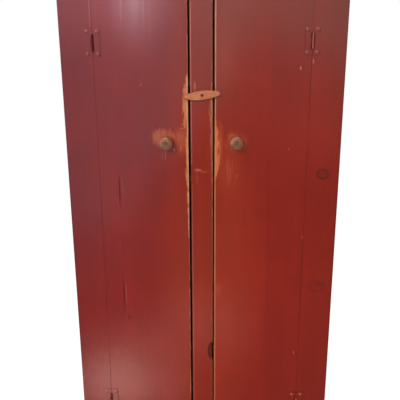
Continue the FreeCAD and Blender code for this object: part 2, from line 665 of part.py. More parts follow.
def group_of(label, fastener, spots):
    """One piece of identical fasteners; each spot is a place and the rotation of its fastener."""
    solids = [fastener.Shape.transformed(Placement(spot, turn).toMatrix(), True)
              for spot, turn in spots]
    group = doc.addObject("Part::Feature", label)
    group.Shape = Part.makeCompound(solids) if len(solids) > 1 else solids[0]
    group.Placement = Placement()
    keep(group, label)


def evenly(start, end, count):
    """count numbers from start to end, evenly spaced."""
    return [start + (end - start) * n / (count - 1) for n in range(count)]


def at_both_sides(inset):
    """The two X places that lie inset from the cupboard's outer sides."""
    return (places.left + inset, places.right - inset)


INWARD = Rotation()
OUTWARD = Rotation(Vector(0, 0, 1), 180)
DOWN = Rotation(Vector(1, 0, 0), -90)
TO_LEFT = Rotation(Vector(0, 0, 1), 90)
TO_RIGHT = Rotation(Vector(0, 0, 1), -90)
HEAD_LEVEL = Rotation(Vector(0, 1, 0), 90)

knob_seat = "(Sizes.knob_projection - Sizes.knob_recess_depth)"
hinge_screw = round_head_screw("hinge_screw", "Sizes.hinge_screw_length")
knob_screw = round_head_screw("knob_screw", f"{knob_seat} + Sizes.knob_screw_bite")
head_front = "(Sizes.button_clearance + Sizes.button_thick + Sizes.button_screw_clearance)"
button_screw = countersunk_screw("button_screw", f"{head_front} + Sizes.button_screw_bite")
frame_nail = cut_nail("frame_nail", "Sizes.frame_nail_length")
batten_nail = cut_nail("batten_nail", "Sizes.batten_nail_length")
cornice_nail = cut_nail("cornice_nail", "Sizes.cornice_nail_length")
doc.recompute()


def hinge_screw_spots(hand, level, towards):
    """Where one leaf's two screws seat; towards is the leaf's side of the pin, 1 or -1."""
    x = value(f"Places.{hand}_pin") + towards * sizes.hinge_screw_from_pin
    middle = value(HINGES[(hand, level)])
    offset = sizes.hinge_height / 2 - sizes.hinge_screw_from_end
    return [(Vector(x, places.face - sizes.hinge_leaf_thick, middle + end * offset), INWARD)
            for end in (1, -1)]


def hinge_screws():
    """Two screws in each leaf: one group in the stiles and one in each door."""
    in_stiles = []
    for hand, towards_stile in (("left", -1), ("right", 1)):
        in_door = []
        for level in ("upper", "lower"):
            in_stiles += hinge_screw_spots(hand, level, towards_stile)
            in_door += hinge_screw_spots(hand, level, -towards_stile)
        group_of(f"hinge_screws_door_{hand}", hinge_screw, in_door)
    group_of("hinge_screws_stiles", hinge_screw, in_stiles)


def knob_and_button_screws():
    """One screw through each knob into its door, and the one that the turn button turns on."""
    for hand in ("left", "right"):
        seat = Vector(value(f"Places.{hand}_knob_x"), places.face - value(knob_seat),
                      places.knob_z)
        group_of(f"knob_screw_{hand}", knob_screw, [(seat, INWARD)])
    front = Vector(places.button_screw_x, places.face - value(head_front), places.button_screw_z)
    group_of("turn_button_screw", button_screw, [(front, INWARD)])


def door_nails(hand):
    """Nails through the battens from inside; they stop short of the door's face."""
    start, end = value(f"Places.{hand}_door_start"), value(f"Places.{hand}_door_end")
    hinge_board = value(f"Sizes.hinge_board_{hand}")
    split = start + hinge_board if hand == "left" else end - hinge_board
    edge = sizes.batten_nail_from_edge
    inset = sizes.batten_inset + edge / 2
    across = (start + inset, split - edge, split + edge, end - inset)
    bottoms = (places.door_bottom + sizes.batten_from_end,
               (places.door_bottom + places.door_top - sizes.batten_width) / 2,
               places.door_top - sizes.batten_from_end - sizes.batten_width)
    batten_back = places.door_back + sizes.batten_thick
    group_of(f"nails_door_{hand}", batten_nail,
             [(Vector(x, batten_back, bottom + rise), OUTWARD)
              for bottom in bottoms
              for x in across
              for rise in (edge, sizes.batten_width - edge)])


def frame_nails():
    """Down both stiles into the sides, along the base rail and along the top rail."""
    in_stiles = [(Vector(x, places.face, z), INWARD)
                 for x in at_both_sides(sizes.side_thick / 2)
                 for z in evenly(sizes.nail_from_end, places.opening_top - sizes.nail_from_end, 6)]
    rail_xs = evenly(places.left + sizes.stile_left_width + sizes.nail_from_end,
                     places.right - sizes.stile_right_width - sizes.nail_from_end, 4)
    floor_nail_z = (value(shelf_underside(0)) + sizes.sill_height) / 2
    in_rails = [(Vector(x, places.face, z), HEAD_LEVEL)
                for z in (floor_nail_z, places.opening_top + sizes.nail_head_length)
                for x in rail_xs]
    group_of("nails_face_frame", frame_nail, in_stiles + in_rails)


def cornice_nails():
    """Along the square foot of the moulding, at the front and at both sides."""
    z = places.under_top - sizes.cornice_height + sizes.cornice_foot / 2
    inset = sizes.nail_from_end
    spots = [(Vector(x, places.face - sizes.cornice_foot, z), HEAD_LEVEL)
             for x in evenly(places.left + inset, places.right - inset, 4)]
    for x, turn in ((places.left - sizes.cornice_foot, TO_RIGHT),
                    (places.right + sizes.cornice_foot, TO_LEFT)):
        spots += [(Vector(x, y, z), turn.multiply(HEAD_LEVEL))
                  for y in (places.frame_back + inset, places.back - inset)]
    group_of("nails_cornice", cornice_nail, spots)


def carcass_nails():
    """Through the top board, the back boards and the shelf cleats."""
    in_top = [(Vector(x, y, sizes.cupboard_height), DOWN)
              for x in at_both_sides(sizes.side_thick / 2)
              for y in evenly(places.frame_back + sizes.nail_from_end,
                              places.back - sizes.nail_from_end, 3)]
    first_middle = places.inner_left - sizes.rabbet_width + places.back_board_width / 2
    board_step = places.back_board_width + sizes.back_joint
    undersides = [value(shelf_underside(level)) for level in range(SHELF_COUNT + 1)]
    in_back = [(Vector(first_middle + n * board_step + shift, places.back, z), OUTWARD)
               for n in range(BACK_BOARD_COUNT)
               for shift in (-places.back_board_width / 4, places.back_board_width / 4)
               for z in (under + sizes.shelf_thick / 2 for under in undersides)]
    in_cleats = [(Vector(x, y, under - sizes.cleat_height / 2), turn)
                 for x, turn in ((places.inner_left + sizes.cleat_width, TO_LEFT),
                                 (places.inner_right - sizes.cleat_width, TO_RIGHT))
                 for y in (places.shelf_front + sizes.nail_from_end,
                           places.back_front - sizes.nail_from_end)
                 for under in undersides]
    group_of("nails_carcass", frame_nail, in_top + in_back + in_cleats)


hinge_screws()
knob_and_button_screws()
for side_name in ("left", "right"):
    door_nails(side_name)
frame_nails()
cornice_nails()
carcass_nails()


# ---------------------------------------------------------------- checks and files

doc.recompute()
failed = [o.Label for o in doc.Objects if "Invalid" in o.State or "Error" in o.State]
if failed:
    raise RuntimeError(f"these objects failed: {failed}")
for piece in pieces:
    if piece.Shape.isNull() or not piece.Shape.isValid() or not piece.Shape.Solids:
        raise RuntimeError(f"{piece.Label} has no sound shape")

os.makedirs("parts", exist_ok=True)
for piece in pieces:
    piece.Shape.exportStep(f"parts/{piece.Label}.step")
print(f"{len(pieces)} pieces written")
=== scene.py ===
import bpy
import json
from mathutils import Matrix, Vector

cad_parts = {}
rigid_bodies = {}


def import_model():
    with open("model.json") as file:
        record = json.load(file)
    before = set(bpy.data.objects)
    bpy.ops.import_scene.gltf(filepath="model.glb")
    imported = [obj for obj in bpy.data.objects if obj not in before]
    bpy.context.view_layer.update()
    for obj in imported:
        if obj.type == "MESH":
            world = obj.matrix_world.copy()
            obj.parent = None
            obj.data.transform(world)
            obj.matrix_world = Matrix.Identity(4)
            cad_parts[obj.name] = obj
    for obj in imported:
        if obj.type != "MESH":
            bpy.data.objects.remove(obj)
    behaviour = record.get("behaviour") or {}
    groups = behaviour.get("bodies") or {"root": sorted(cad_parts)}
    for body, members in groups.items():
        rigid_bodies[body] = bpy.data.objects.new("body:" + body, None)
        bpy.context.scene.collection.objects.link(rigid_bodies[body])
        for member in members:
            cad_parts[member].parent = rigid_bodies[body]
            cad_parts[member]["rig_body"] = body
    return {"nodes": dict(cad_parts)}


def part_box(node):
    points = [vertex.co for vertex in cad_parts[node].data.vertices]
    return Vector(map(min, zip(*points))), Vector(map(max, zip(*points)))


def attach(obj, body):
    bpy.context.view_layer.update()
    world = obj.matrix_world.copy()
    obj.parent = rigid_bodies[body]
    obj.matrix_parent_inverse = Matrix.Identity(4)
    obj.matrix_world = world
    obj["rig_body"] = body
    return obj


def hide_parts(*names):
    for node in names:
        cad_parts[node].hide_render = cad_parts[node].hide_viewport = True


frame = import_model()

"""Two-door jelly cupboard: nailed pine under worn barn-red paint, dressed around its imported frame.

Metres throughout, +Z up, +X to the right when the doors are faced. Every board takes its box from
the frame; marks on the paint are placed in millimetres on the cupboard's face.
"""
import json
import logging
import math
import random
from dataclasses import dataclass, field
from enum import Enum
from typing import Callable, Iterable, Optional, Sequence, Union

import bmesh
import bpy
from mathutils import Matrix, Vector, noise

log = logging.getLogger("jelly_cupboard")

MM = 0.001
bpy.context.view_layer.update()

# Y of the front's face, and the depth in a joint at which the painted shade on its walls is full, in
# millimetres.
FACE, JOINT_DEPTH = -186.0, 10.0
# The space inside: half its width, the back of the face frame, its bottom and its top.
HALF_INSIDE, FRAME_BACK, INSIDE_LOW, INSIDE_HIGH = 0.4400, -0.1642, 0.04, 1.7562
# No joint of the front gets painted shade below this height.
JOINTS_FROM = 0.11

Piece = bpy.types.Object
Socket = bpy.types.NodeSocket
Owner = Union[bpy.types.Material, bpy.types.World]
Value = Union[float, Sequence[float], Socket]
Colour = tuple[float, float, float, float]
Curve = Sequence[tuple[float, float]]
Depth = Callable[[Vector], float]

WHITE: Colour = (1.0, 1.0, 1.0, 1.0)


def shade(red: int, green: int, blue: int) -> Colour:
    """Turns a colour written as screen values into the linear one that a shader takes.

    Args:
        red: 0 to 255.
        green: 0 to 255.
        blue: 0 to 255.

    Returns:
        The linear colour with full opacity.
    """
    linear = [(c / 255 + 0.055) ** 2.4 / 1.055 ** 2.4 if c > 10 else c / 3295 for c in
              (red, green, blue)]
    return (linear[0], linear[1], linear[2], 1.0)


def clamped(value: float) -> float:
    """A value kept between 0 and 1."""
    return min(max(value, 0.0), 1.0)


def roll(point: Vector) -> float:
    """Smooth noise, from about 0 to about 1."""
    return 0.5 + 0.5 * noise.noise(point)


class Axis(Enum):
    """A direction of the frame, as an index into a point."""

    X = 0
    Y = 1
    Z = 2


class Hand(Enum):
    """Left or right when the doors are faced; the value points from the middle outwards."""

    LEFT = -1
    RIGHT = 1

    @property
    def word(self) -> str:
        """The word that this hand has in the names of nodes."""
        return self.name.lower()


class MarkKind(Enum):
    """What a mark on the paint is."""

    RUBBED = "rubbed through to the wood"
    THIN = "paint worn thin, the wood showing warm through it"
    # This kind is also laid as painted highlights and a painted floor reflection.
    CHALKY = "paint gone pale and dull"
    SCUFFED = "paint rubbed to a dull brown-pink film"
    # This kind is also laid as painted shade and painted shadows, in gaps, joints and round the
    # hinges.
    DIRTY = "dark dirt, or a pocket in the wood"
    KNOT = "the ring of a knot under the paint"


RUBBED, THIN, CHALKY, SCUFFED, DIRTY, KNOT = MarkKind


# ------------------------------------------------------------------ shader nodes


class Graph:
    """The nodes of a material or of the world, laid one call at a time."""

    def __init__(self, owner: Owner) -> None:
        """Starts with no nodes.

        Args:
            owner: the material or world that they belong to.
        """
        self.owner = owner
        self.owner.use_nodes = True
        self.tree = self.owner.node_tree
        self.tree.nodes.clear()

    @classmethod
    def material(cls, name: str) -> "Graph":
        """The nodes of a new material."""
        return cls(bpy.data.materials.new(name))

    def add(self, kind: str, inputs: Optional[dict[Union[int, str], Value]] = None,
            **settings: object) -> bpy.types.Node:
        """Adds a node.

        Args:
            kind: its type, without the "ShaderNode" before it.
            inputs: what its sockets are linked or set to, by number or name.
            settings: its other properties.

        Returns:
            The node.
        """
        made = self.tree.nodes.new(f"ShaderNode{kind}")
        for key, setting in settings.items():
            setattr(made, key, setting)
        for key, value in (inputs or {}).items():
            if isinstance(value, bpy.types.NodeSocket):
                self.tree.links.new(value, made.inputs[key])
            else:
                made.inputs[key].default_value = value
        return made

    def place(self) -> Socket:
        """Object coordinates, which are the frame's own."""
        return self.add("TexCoord").outputs["Object"]

    def carried(self, name: str, is_vector: bool = False) -> Socket:
        """An attribute that the mesh carries."""
        made = self.add("Attribute", attribute_type="GEOMETRY", attribute_name=name)
        return made.outputs["Vector" if is_vector else "Fac"]

    def parts(self, vector: Socket) -> tuple[Socket, ...]:
        """The X, Y and Z of a vector."""
        return tuple(self.add("SeparateXYZ", {0: vector}).outputs)

    def length(self, vector: Socket) -> Socket:
        """The length of a vector."""
        made = self.add("VectorMath", {0: vector}, operation="LENGTH")
        return made.outputs["Value"]

    def math(self, operation: str, first: Value, second: Value = 0.0) -> Socket:
        """One step of arithmetic."""
        return self.add("Math", {0: first, 1: second}, operation=operation).outputs[0]

    def times(self, first: Value, second: Value) -> Socket:
        """The product of two values."""
        return self.math("MULTIPLY", first, second)

    def plus(self, base: Value, extra: Value, weight: float = 1.0) -> Socket:
        """A value with another one added, which is weighted first."""
        return self.math("ADD", base, extra if weight == 1.0 else self.times(extra, weight))

    def noise(self, vector: Socket, scale: float, detail: float = 3.0, roughness: float = 0.5,
              along: float = 1.0) -> Socket:
        """Fractal noise from 0 to 1.

        Args:
            vector: where it is read.
            scale: how fine it is.
            detail: how many finer layers lie on it.
            roughness: how strong those layers are.
            along: its scale along Z; less than 1 draws it out into streaks.

        Returns:
            The noise.
        """
        if along != 1.0:
            drawn = self.add("Mapping", {"Vector": vector, "Scale": (1.0, 1.0, along)})
            vector = drawn.outputs[0]
        made = self.add("TexNoise", {"Vector": vector, "Scale": scale, "Detail": detail,
                                     "Roughness": roughness})
        return made.outputs["Fac"]

    def smooth(self, value: Value, start: Value, end: Value, low: Value = 0.0,
               high: Value = 1.0) -> Socket:
        """Eases from low at start to high at end, and stays there beyond them."""
        made = self.add("MapRange", dict(enumerate((value, start, end, low, high))),
                        interpolation_type="SMOOTHSTEP")
        return made.outputs[0]

    def mix(self, share: Value, first: Value, second: Value, blend: str = "MIX") -> Socket:
        """Blends two colours."""
        made = self.add("Mix", {0: share, 6: first, 7: second}, data_type="RGBA",
                        blend_type=blend)
        return made.outputs[2]

    def profile(self, value: Socket, points: Curve, highest: float = 1.0) -> Socket:
        """A curve through points, read at a value.

        Args:
            value: where the curve is read.
            points: (place, height) in rising order of place.
            highest: no height is over it, and none is under 0.

        Returns:
            The height there.
        """
        first, last = points[0][0], points[-1][0]
        share = self.add("MapRange", dict(enumerate((value, first, last, 0.0, 1.0))))
        ramp = self.add("ValToRGB", {0: share.outputs[0]})
        ramp.color_ramp.interpolation = "EASE"
        stops = ramp.color_ramp.elements
        while len(stops) < len(points):
            stops.new(0.5)
        for stop, (where, height) in zip(stops, points):
            level = height / highest
            stop.position = (where - first) / (last - first)
            stop.color = (level, level, level, 1.0)
        return ramp.outputs[0] if highest == 1.0 else self.times(ramp.outputs[0], highest)

    def spot(self, place: Socket, mark: Union["Mark", "Glow"]) -> Socket:
        """How far a point is from the middle of a mark.

        Args:
            place: the point.
            mark: the mark.

        Returns:
            The distance, 1 on the mark's rim.
        """
        local = self.add("Mapping", {
            "Vector": place,
            "Location": (mark.x * MM, mark.y * MM, mark.z * MM),
            "Rotation": (0.0, math.radians(mark.turn), 0.0),
            "Scale": (mark.wide * MM, mark.deep * MM, mark.tall * MM),
        }, vector_type="TEXTURE").outputs[0]
        if not mark.is_straight:
            return self.length(local)
        away = self.add("VectorMath", {0: local}, operation="ABSOLUTE")
        across, through, up = self.parts(away.outputs["Vector"])
        return self.math("MAXIMUM", across, self.math("MAXIMUM", through, up))

    def bump(self, height: Socket, strength: float, distance: float) -> Socket:
        """A normal bent by a height."""
        inputs = {"Height": height, "Strength": strength, "Distance": distance}
        return self.add("Bump", inputs).outputs[0]

    def seen(self) -> Socket:
        """1 for the rays of the camera, of gloss and of glass, and 0 for those of light."""
        rays = self.add("LightPath").outputs
        direct = self.math("MAXIMUM", rays["Is Camera Ray"], rays["Is Glossy Ray"])
        return self.math("MAXIMUM", direct, rays["Is Transmission Ray"])

    def close(self, shader: bpy.types.Node) -> Owner:
        """Ends the nodes in a shader, and hands their owner back."""
        is_world = isinstance(self.owner, bpy.types.World)
        kind = "OutputWorld" if is_world else "OutputMaterial"
        self.add(kind, {"Surface": shader.outputs[0]})
        return self.owner

    def surface(self, colour: Value, roughness: Value, normal: Socket, gloss: float,
                metal: float = 0.0) -> bpy.types.Material:
        """Ends a material in one principled shader.

        Args:
            colour: base colour.
            roughness: 0 to 1.
            normal: from a bump.
            gloss: the shader's specular level.
            metal: the shader's metallic share.

        Returns:
            The finished material.
        """
        return self.close(self.add("BsdfPrincipled", {
            "Base Color": colour, "Roughness": roughness, "Specular IOR Level": gloss,
            "Metallic": metal, "Normal": normal}))

    def growth_rings(self, grain: Socket, pitch: float, bulge: Value = 0.0) -> Socket:
        """The dark late wood of a sawn board.

        Args:
            grain: the board's own vector (across, through, along), measured from its pith.
            pitch: one year's growth in metres.
            bulge: how far the rings swell, as they do round a knot.

        Returns:
            0 in the pale wood, 1 on the dark line of each year.
        """
        flat = self.add("VectorMath", {0: grain, 1: (1.0, 1.0, 0.0)}, operation="MULTIPLY")
        wander = self.noise(grain, 5.0, 2.0, along=0.22)
        waver = self.noise(grain, 60.0, 2.0, along=0.12)
        radius = self.plus(self.length(flat.outputs[0]), wander, 0.05)
        radius = self.plus(self.plus(radius, waver, 0.0018), bulge)
        year = self.math("FRACT", self.times(radius, 1 / pitch))
        return self.times(self.smooth(year, 0.35, 0.9), self.smooth(year, 1.0, 0.93))


# ------------------------------------------------------------------ finishes


@dataclass(frozen=True)
class Mark:
    """One mark on the painted face, an ellipse in millimetres.

    Attributes:
        kind: what it is.
        x: its middle.
        z: its middle.
        wide: half its width.
        tall: half its height.
        turn: degrees, its top leaning towards +X.
        strength: 0 to 1.
        ragged: how torn its rim is, as a share of its size.
        soft: how wide its rim fades, as a share of its size.
        y: its middle, on the face.
        deep: how far it reaches through the wood.
        is_straight: whether its sides are straight, as a slot's are.
    """

    kind: MarkKind
    x: float
    z: float
    wide: float
    tall: float
    turn: float = 0.0
    strength: float = 1.0
    ragged: float = 1.0
    soft: float = 0.3
    y: float = FACE
    deep: float = 16.0
    is_straight: bool = False


def marks(kind: MarkKind, *rows: Sequence[float], **shared: object) -> tuple[Mark, ...]:
    """Several marks of one kind.

    Args:
        kind: what they are.
        rows: each mark's x, z, wide and tall, then as many more of its numbers as it needs.
        shared: what they all have.

    Returns:
        The marks.
    """
    return tuple(Mark(kind, *row, **shared) for row in rows)


@dataclass(frozen=True)
class EdgeWear:
    """Paint worn back from a board's long free edge.

    Attributes:
        x: the edge, in millimetres.
        inward: 1 where the board lies to the right of the edge, -1 where to the left.
        widths: (height over the floor, width of the wear), in millimetres, from the bottom up.
        strength: how far it goes, 1 being down to the wood.
        torn: how far the wear's border strays, as a share of its width.
    """

    x: float
    inward: int
    widths: Curve
    strength: float = 1.0
    torn: float = 0.45

    def lay(self, graph: Graph, across: Socket, up: Socket, tear: Socket) -> Socket:
        """How worn the paint is, from 0 to 1.

        Args:
            graph: the material's nodes.
            across: X of the point.
            up: Z of the point.
            tear: a streaky noise that tears the wear's border.

        Returns:
            The wear.
        """
        widest = max(width for _, width in self.widths)
        points = [(z * MM, width * MM) for z, width in self.widths]
        width = graph.profile(up, points, widest * MM)
        away = graph.times(graph.math("SUBTRACT", across, self.x * MM), float(self.inward))
        share = graph.math("DIVIDE", away, width)
        share = graph.plus(share, graph.smooth(tear, 0.25, 0.75, -self.torn, self.torn))
        return graph.smooth(share, 1.35, 0.0, 0.0, self.strength)


@dataclass
class Layers:
    """What has been laid on a painted board so far.

    Attributes:
        colour: its colour.
        height: its relief.
        wear: how far it is rubbed through, 0 to 1.
        dirt: how dark it is from dirt and painted shade, 0 to 1.
    """

    colour: Socket
    height: Socket
    wear: Socket
    dirt: Value = 0.0


@dataclass(frozen=True)
class BarnRed:
    """Brushed semi-gloss barn-red paint over pine, rubbed along its arrises and at its marks.

    Attributes:
        name: the material's name.
        marks: marks on this board's face.
        edges: free edges that are worn back.
        rub: how much of the paint is gone along the arrises, 0 to 1.
        smoke: how much painted shade darkens it up its height, 0 to 1.
        deep: the darker paint.
        full: the brighter paint.
        chalk: paint gone pale, also the colour of painted highlights and reflections.
        thin: paint that lets the wood through.
        stain: wood that still holds paint.
        orange: worn wood.
        tan: worn wood on the arris itself.
        dirt: dirt, also the colour of painted shade.
        scuff: paint rubbed dull.
        ring_pitch: one year's growth of the wood below.
        gloss: the paint's specular level.
    """

    name: str
    marks: tuple[Mark, ...] = ()
    edges: tuple[EdgeWear, ...] = ()
    rub: float = 0.25
    smoke: float = 1.0
    deep: Colour = shade(127, 23, 10)
    full: Colour = shade(137, 27, 12)
    chalk: Colour = shade(184, 124, 112)
    thin: Colour = shade(176, 76, 40)
    stain: Colour = shade(152, 72, 32)
    orange: Colour = shade(180, 104, 63)
    tan: Colour = shade(194, 140, 102)
    dirt: Colour = shade(64, 11, 9)
    scuff: Colour = shade(156, 88, 52)
    ring_pitch: float = 5.5 * MM
    gloss: float = 0.12

    def build(self) -> bpy.types.Material:
        """Lays the paint, then its marks, then the bare wood.

        Returns:
            The material.
        """
        graph = Graph.material(self.name)
        place = graph.place()
        across, through, up = graph.parts(place)
        grain = graph.carried("grain", is_vector=True)
        late = graph.growth_rings(grain, self.ring_pitch)
        brush = graph.noise(grain, 85.0, 5.0, 0.62, along=0.03)
        tear = graph.noise(place, 170.0, 4.0, 0.6, along=0.22)

        tone = graph.times(
            graph.smooth(brush, 0.28, 0.75, 0.97, 1.03),
            graph.smooth(graph.noise(place, 11.0, 3.0, 0.55), 0.32, 0.68, 0.965, 1.035))
        # Painted shade: darker up the front, on the left and at the outer edges and sides.
        tone = graph.times(tone, self._smoked(graph, across, up))
        drift = graph.noise(grain, 7.0, 3.0, along=0.3)
        paint = graph.mix(graph.smooth(drift, 0.3, 0.7), self.deep, self.full)
        grey = graph.add("CombineColor", {0: tone, 1: tone, 2: tone})
        paint = graph.mix(1.0, paint, grey.outputs[0], "MULTIPLY")
        paint = graph.mix(graph.times(late, 0.03), paint, self.dirt)
        relief = graph.plus(graph.times(brush, 1.8), late, 0.35)
        layers = Layers(paint, relief, self._arris_wear(graph, tear))

        for mark in self.marks:
            self._lay_mark(graph, layers, mark, place, tear)
        on_face = graph.smooth(through, (FACE + JOINT_DEPTH) * MM, (FACE + 3.5) * MM)
        for edge in self.edges:
            worn = graph.times(edge.lay(graph, across, up, tear), on_face)
            layers.wear = graph.math("MAXIMUM", layers.wear, worn)
        self._bare(graph, layers, place)
        # Painted shade: the walls inside the front's joints and gaps are darkened with depth.
        sunk = graph.smooth(through, (FACE + 1.5) * MM, (FACE + JOINT_DEPTH) * MM, 0.0, 0.93)
        sunk = graph.times(sunk, graph.carried("seam"))
        colour = graph.mix(graph.math("MAXIMUM", sunk, layers.dirt), layers.colour, self.dirt)

        height = graph.math("SUBTRACT", layers.height, graph.times(layers.wear, 0.8))
        height = graph.math("SUBTRACT", height, layers.dirt)
        roughness = graph.plus(graph.smooth(brush, 0.2, 0.8, 0.17, 0.26), layers.wear, 0.3)
        roughness = graph.plus(roughness, graph.smooth(layers.dirt, 0.4, 1.0, 0.0, 0.7))
        return graph.surface(colour, roughness, graph.bump(height, 0.12, 0.5 * MM), self.gloss)

    def _lay_mark(self, graph: Graph, layers: Layers, mark: Mark, place: Socket,
                  tear: Socket) -> None:
        """Lays one mark on the paint.

        Args:
            graph: the material's nodes.
            layers: what it is laid on.
            mark: the mark.
            place: the point.
            tear: a streaky noise that tears the mark's rim.
        """
        tones = {THIN: self.thin, CHALKY: self.chalk, SCUFFED: self.scuff}
        away = graph.spot(place, mark)
        torn = graph.plus(away, graph.math("SUBTRACT", tear, 0.5), 1.6 * mark.ragged)
        share = graph.smooth(torn, 1.0 + mark.soft / 2, 1.0 - mark.soft, 0.0, mark.strength)
        if mark.kind in tones:
            layers.colour = graph.mix(share, layers.colour, tones[mark.kind])
        elif mark.kind is RUBBED:
            layers.wear = graph.math("MAXIMUM", layers.wear, share)
        elif mark.kind is DIRTY:
            layers.dirt = graph.math("MAXIMUM", layers.dirt, share)
        else:
            ring = graph.times(graph.smooth(away, 0.4, 0.8, 0.3, 1.0),
                               graph.smooth(away, 1.25, 0.9, 0.0, mark.strength))
            layers.colour = graph.mix(ring, layers.colour, self.dirt)
            layers.height = graph.plus(layers.height, graph.smooth(away, 1.2, 0.6, 0.0, 0.3))

    def _bare(self, graph: Graph, layers: Layers, place: Socket) -> None:
        """Lays stained wood, and inside it bare wood, where the paint is worn.

        Args:
            graph: the material's nodes.
            layers: what it is laid on.
            place: the point.
        """
        wear = layers.wear
        stained = graph.mix(graph.smooth(wear, 0.04, 0.36), layers.colour, self.stain)
        tip = graph.times(graph.smooth(wear, 0.6, 0.95),
                          graph.smooth(graph.carried("arris"), 6.5 * MM, 1.0 * MM))
        fleck = graph.noise(place, 420.0, 2.0, along=0.6)
        wood = graph.mix(tip, self.orange, self.tan)
        wood = graph.mix(graph.smooth(fleck, 0.52, 0.78, 0.0, 0.35), wood, self.stain)
        layers.colour = graph.mix(graph.smooth(wear, 0.30, 0.68), stained, wood)

    def _arris_wear(self, graph: Graph, tear: Socket) -> Socket:
        """Wear along every arris, from the distance that the mesh carries."""
        reach = graph.smooth(tear, 0.42, 0.80, 0.4 * MM, 3.2 * MM)
        return graph.smooth(graph.math("SUBTRACT", graph.carried("arris"), reach), 1.6 * MM,
                            -1.8 * MM, 0.0, self.rub * 1.6)

    def _smoked(self, graph: Graph, across: Socket, up: Socket) -> Socket:
        """Painted shade: the paint is made darker up the front, on the left and at the outer edges.

        Args:
            graph: the material's nodes.
            across: X of the point.
            up: Z of the point.

        Returns:
            The share that is left of the colour.
        """
        left, middle, right = (graph.profile(up, tones, BRIGHTEST)
                               for tones in (LEFT_TONES, MIDDLE_TONES, RIGHT_TONES))
        tone = graph.smooth(across, -0.16, -0.06, left, middle)
        tone = graph.smooth(across, 0.025, 0.085, tone, right)
        outer = graph.smooth(up, 1.48, 1.64, 0.81, 0.98)
        tone = graph.times(tone, graph.smooth(across, -0.28, -0.45, 1.0, outer))
        tone = graph.times(tone, graph.smooth(across, 0.33, 0.43, 1.0, 0.92))
        tone = graph.times(tone, graph.smooth(graph.math("ABSOLUTE", across), 0.446, 0.456,
                                              1.0, 0.80))
        return graph.plus(graph.times(tone, self.smoke), 1.0 - self.smoke)


@dataclass(frozen=True)
class BarePine:
    """Unpainted pine gone brown with age.

    Attributes:
        name: the material's name.
        pale: early wood.
        late: late wood.
        grime: dirt in the corners and on the surface.
        saw: depth of the saw's marks, 0 for a planed board.
        ring_pitch: one year's growth.
        knot_scale: how close its knots stand.
    """

    name: str
    pale: Colour
    late: Colour
    grime: Colour
    saw: float = 0.0
    ring_pitch: float = 4.6 * MM
    knot_scale: float = 5.5

    def build(self) -> bpy.types.Material:
        """Lays rings, knots, pores and grime.

        Returns:
            The material.
        """
        graph = Graph.material(self.name)
        place = graph.place()
        grain = graph.carried("grain", is_vector=True)
        across, _, along = graph.parts(grain)
        knot = self._knots(graph, grain, across, along)
        late = graph.growth_rings(grain, self.ring_pitch,
                                  graph.smooth(knot, 0.21, 0.03, 0.0, 16 * MM))
        drift = graph.noise(grain, 6.0, 3.0, along=0.25)
        pores = graph.noise(grain, 620.0, 3.0, 0.6, along=0.02)
        stains = graph.noise(place, 3.4, 4.0, 0.6)

        colour = graph.mix(graph.smooth(drift, 0.25, 0.75), self.pale,
                           graph.mix(0.35, self.pale, self.late))
        colour = graph.mix(graph.times(late, 0.6), colour, self.late)
        colour = graph.mix(graph.smooth(pores, 0.55, 0.8, 0.0, 0.35), colour, self.grime)
        colour = graph.mix(graph.smooth(knot, 0.12, 0.04, 0.0, 0.7), colour, self.late)
        rim = graph.times(graph.smooth(knot, 0.026, 0.05, 0.15, 0.75),
                          graph.smooth(knot, 0.078, 0.052))
        colour = graph.mix(rim, colour, self.grime)
        corner = graph.math("SUBTRACT", graph.carried("arris"), graph.times(stains, 12 * MM))
        colour = graph.mix(graph.smooth(corner, 4 * MM, -9 * MM, 0.0, 0.55), colour, self.grime)
        colour = graph.mix(graph.smooth(stains, 0.5, 0.82, 0.0, 0.55), colour, self.grime)

        height = graph.plus(graph.times(late, 0.7), pores)
        if self.saw:
            bowed = graph.plus(along, graph.times(across, across), 2.2)
            kerf = graph.math("SINE", graph.times(bowed, 1500.0))
            chatter = graph.smooth(drift, 0.35, 0.7, 0.1, self.saw)
            height = graph.plus(height, graph.times(kerf, chatter))
        roughness = graph.smooth(pores, 0.2, 0.8, 0.55, 0.8)
        return graph.surface(colour, roughness, graph.bump(height, 0.4, 0.4 * MM), 0.25)

    def _knots(self, graph: Graph, grain: Socket, across: Socket, along: Socket) -> Socket:
        """How far a point is from the nearest knot, as a share of the knots' spacing.

        Args:
            graph: the material's nodes.
            grain: the board's own vector.
            across: its first part.
            along: its last part.

        Returns:
            The distance, a little uneven.
        """
        drawn = graph.add("CombineXYZ", {0: across, 1: graph.times(along, 0.5)})
        cells = graph.add("TexVoronoi", {"Vector": drawn.outputs[0], "Scale": self.knot_scale},
                          voronoi_dimensions="2D")
        wobble = graph.smooth(graph.noise(grain, 48.0, 2.0), 0.25, 0.75, -0.014, 0.014)
        return graph.plus(cells.outputs["Distance"], wobble)


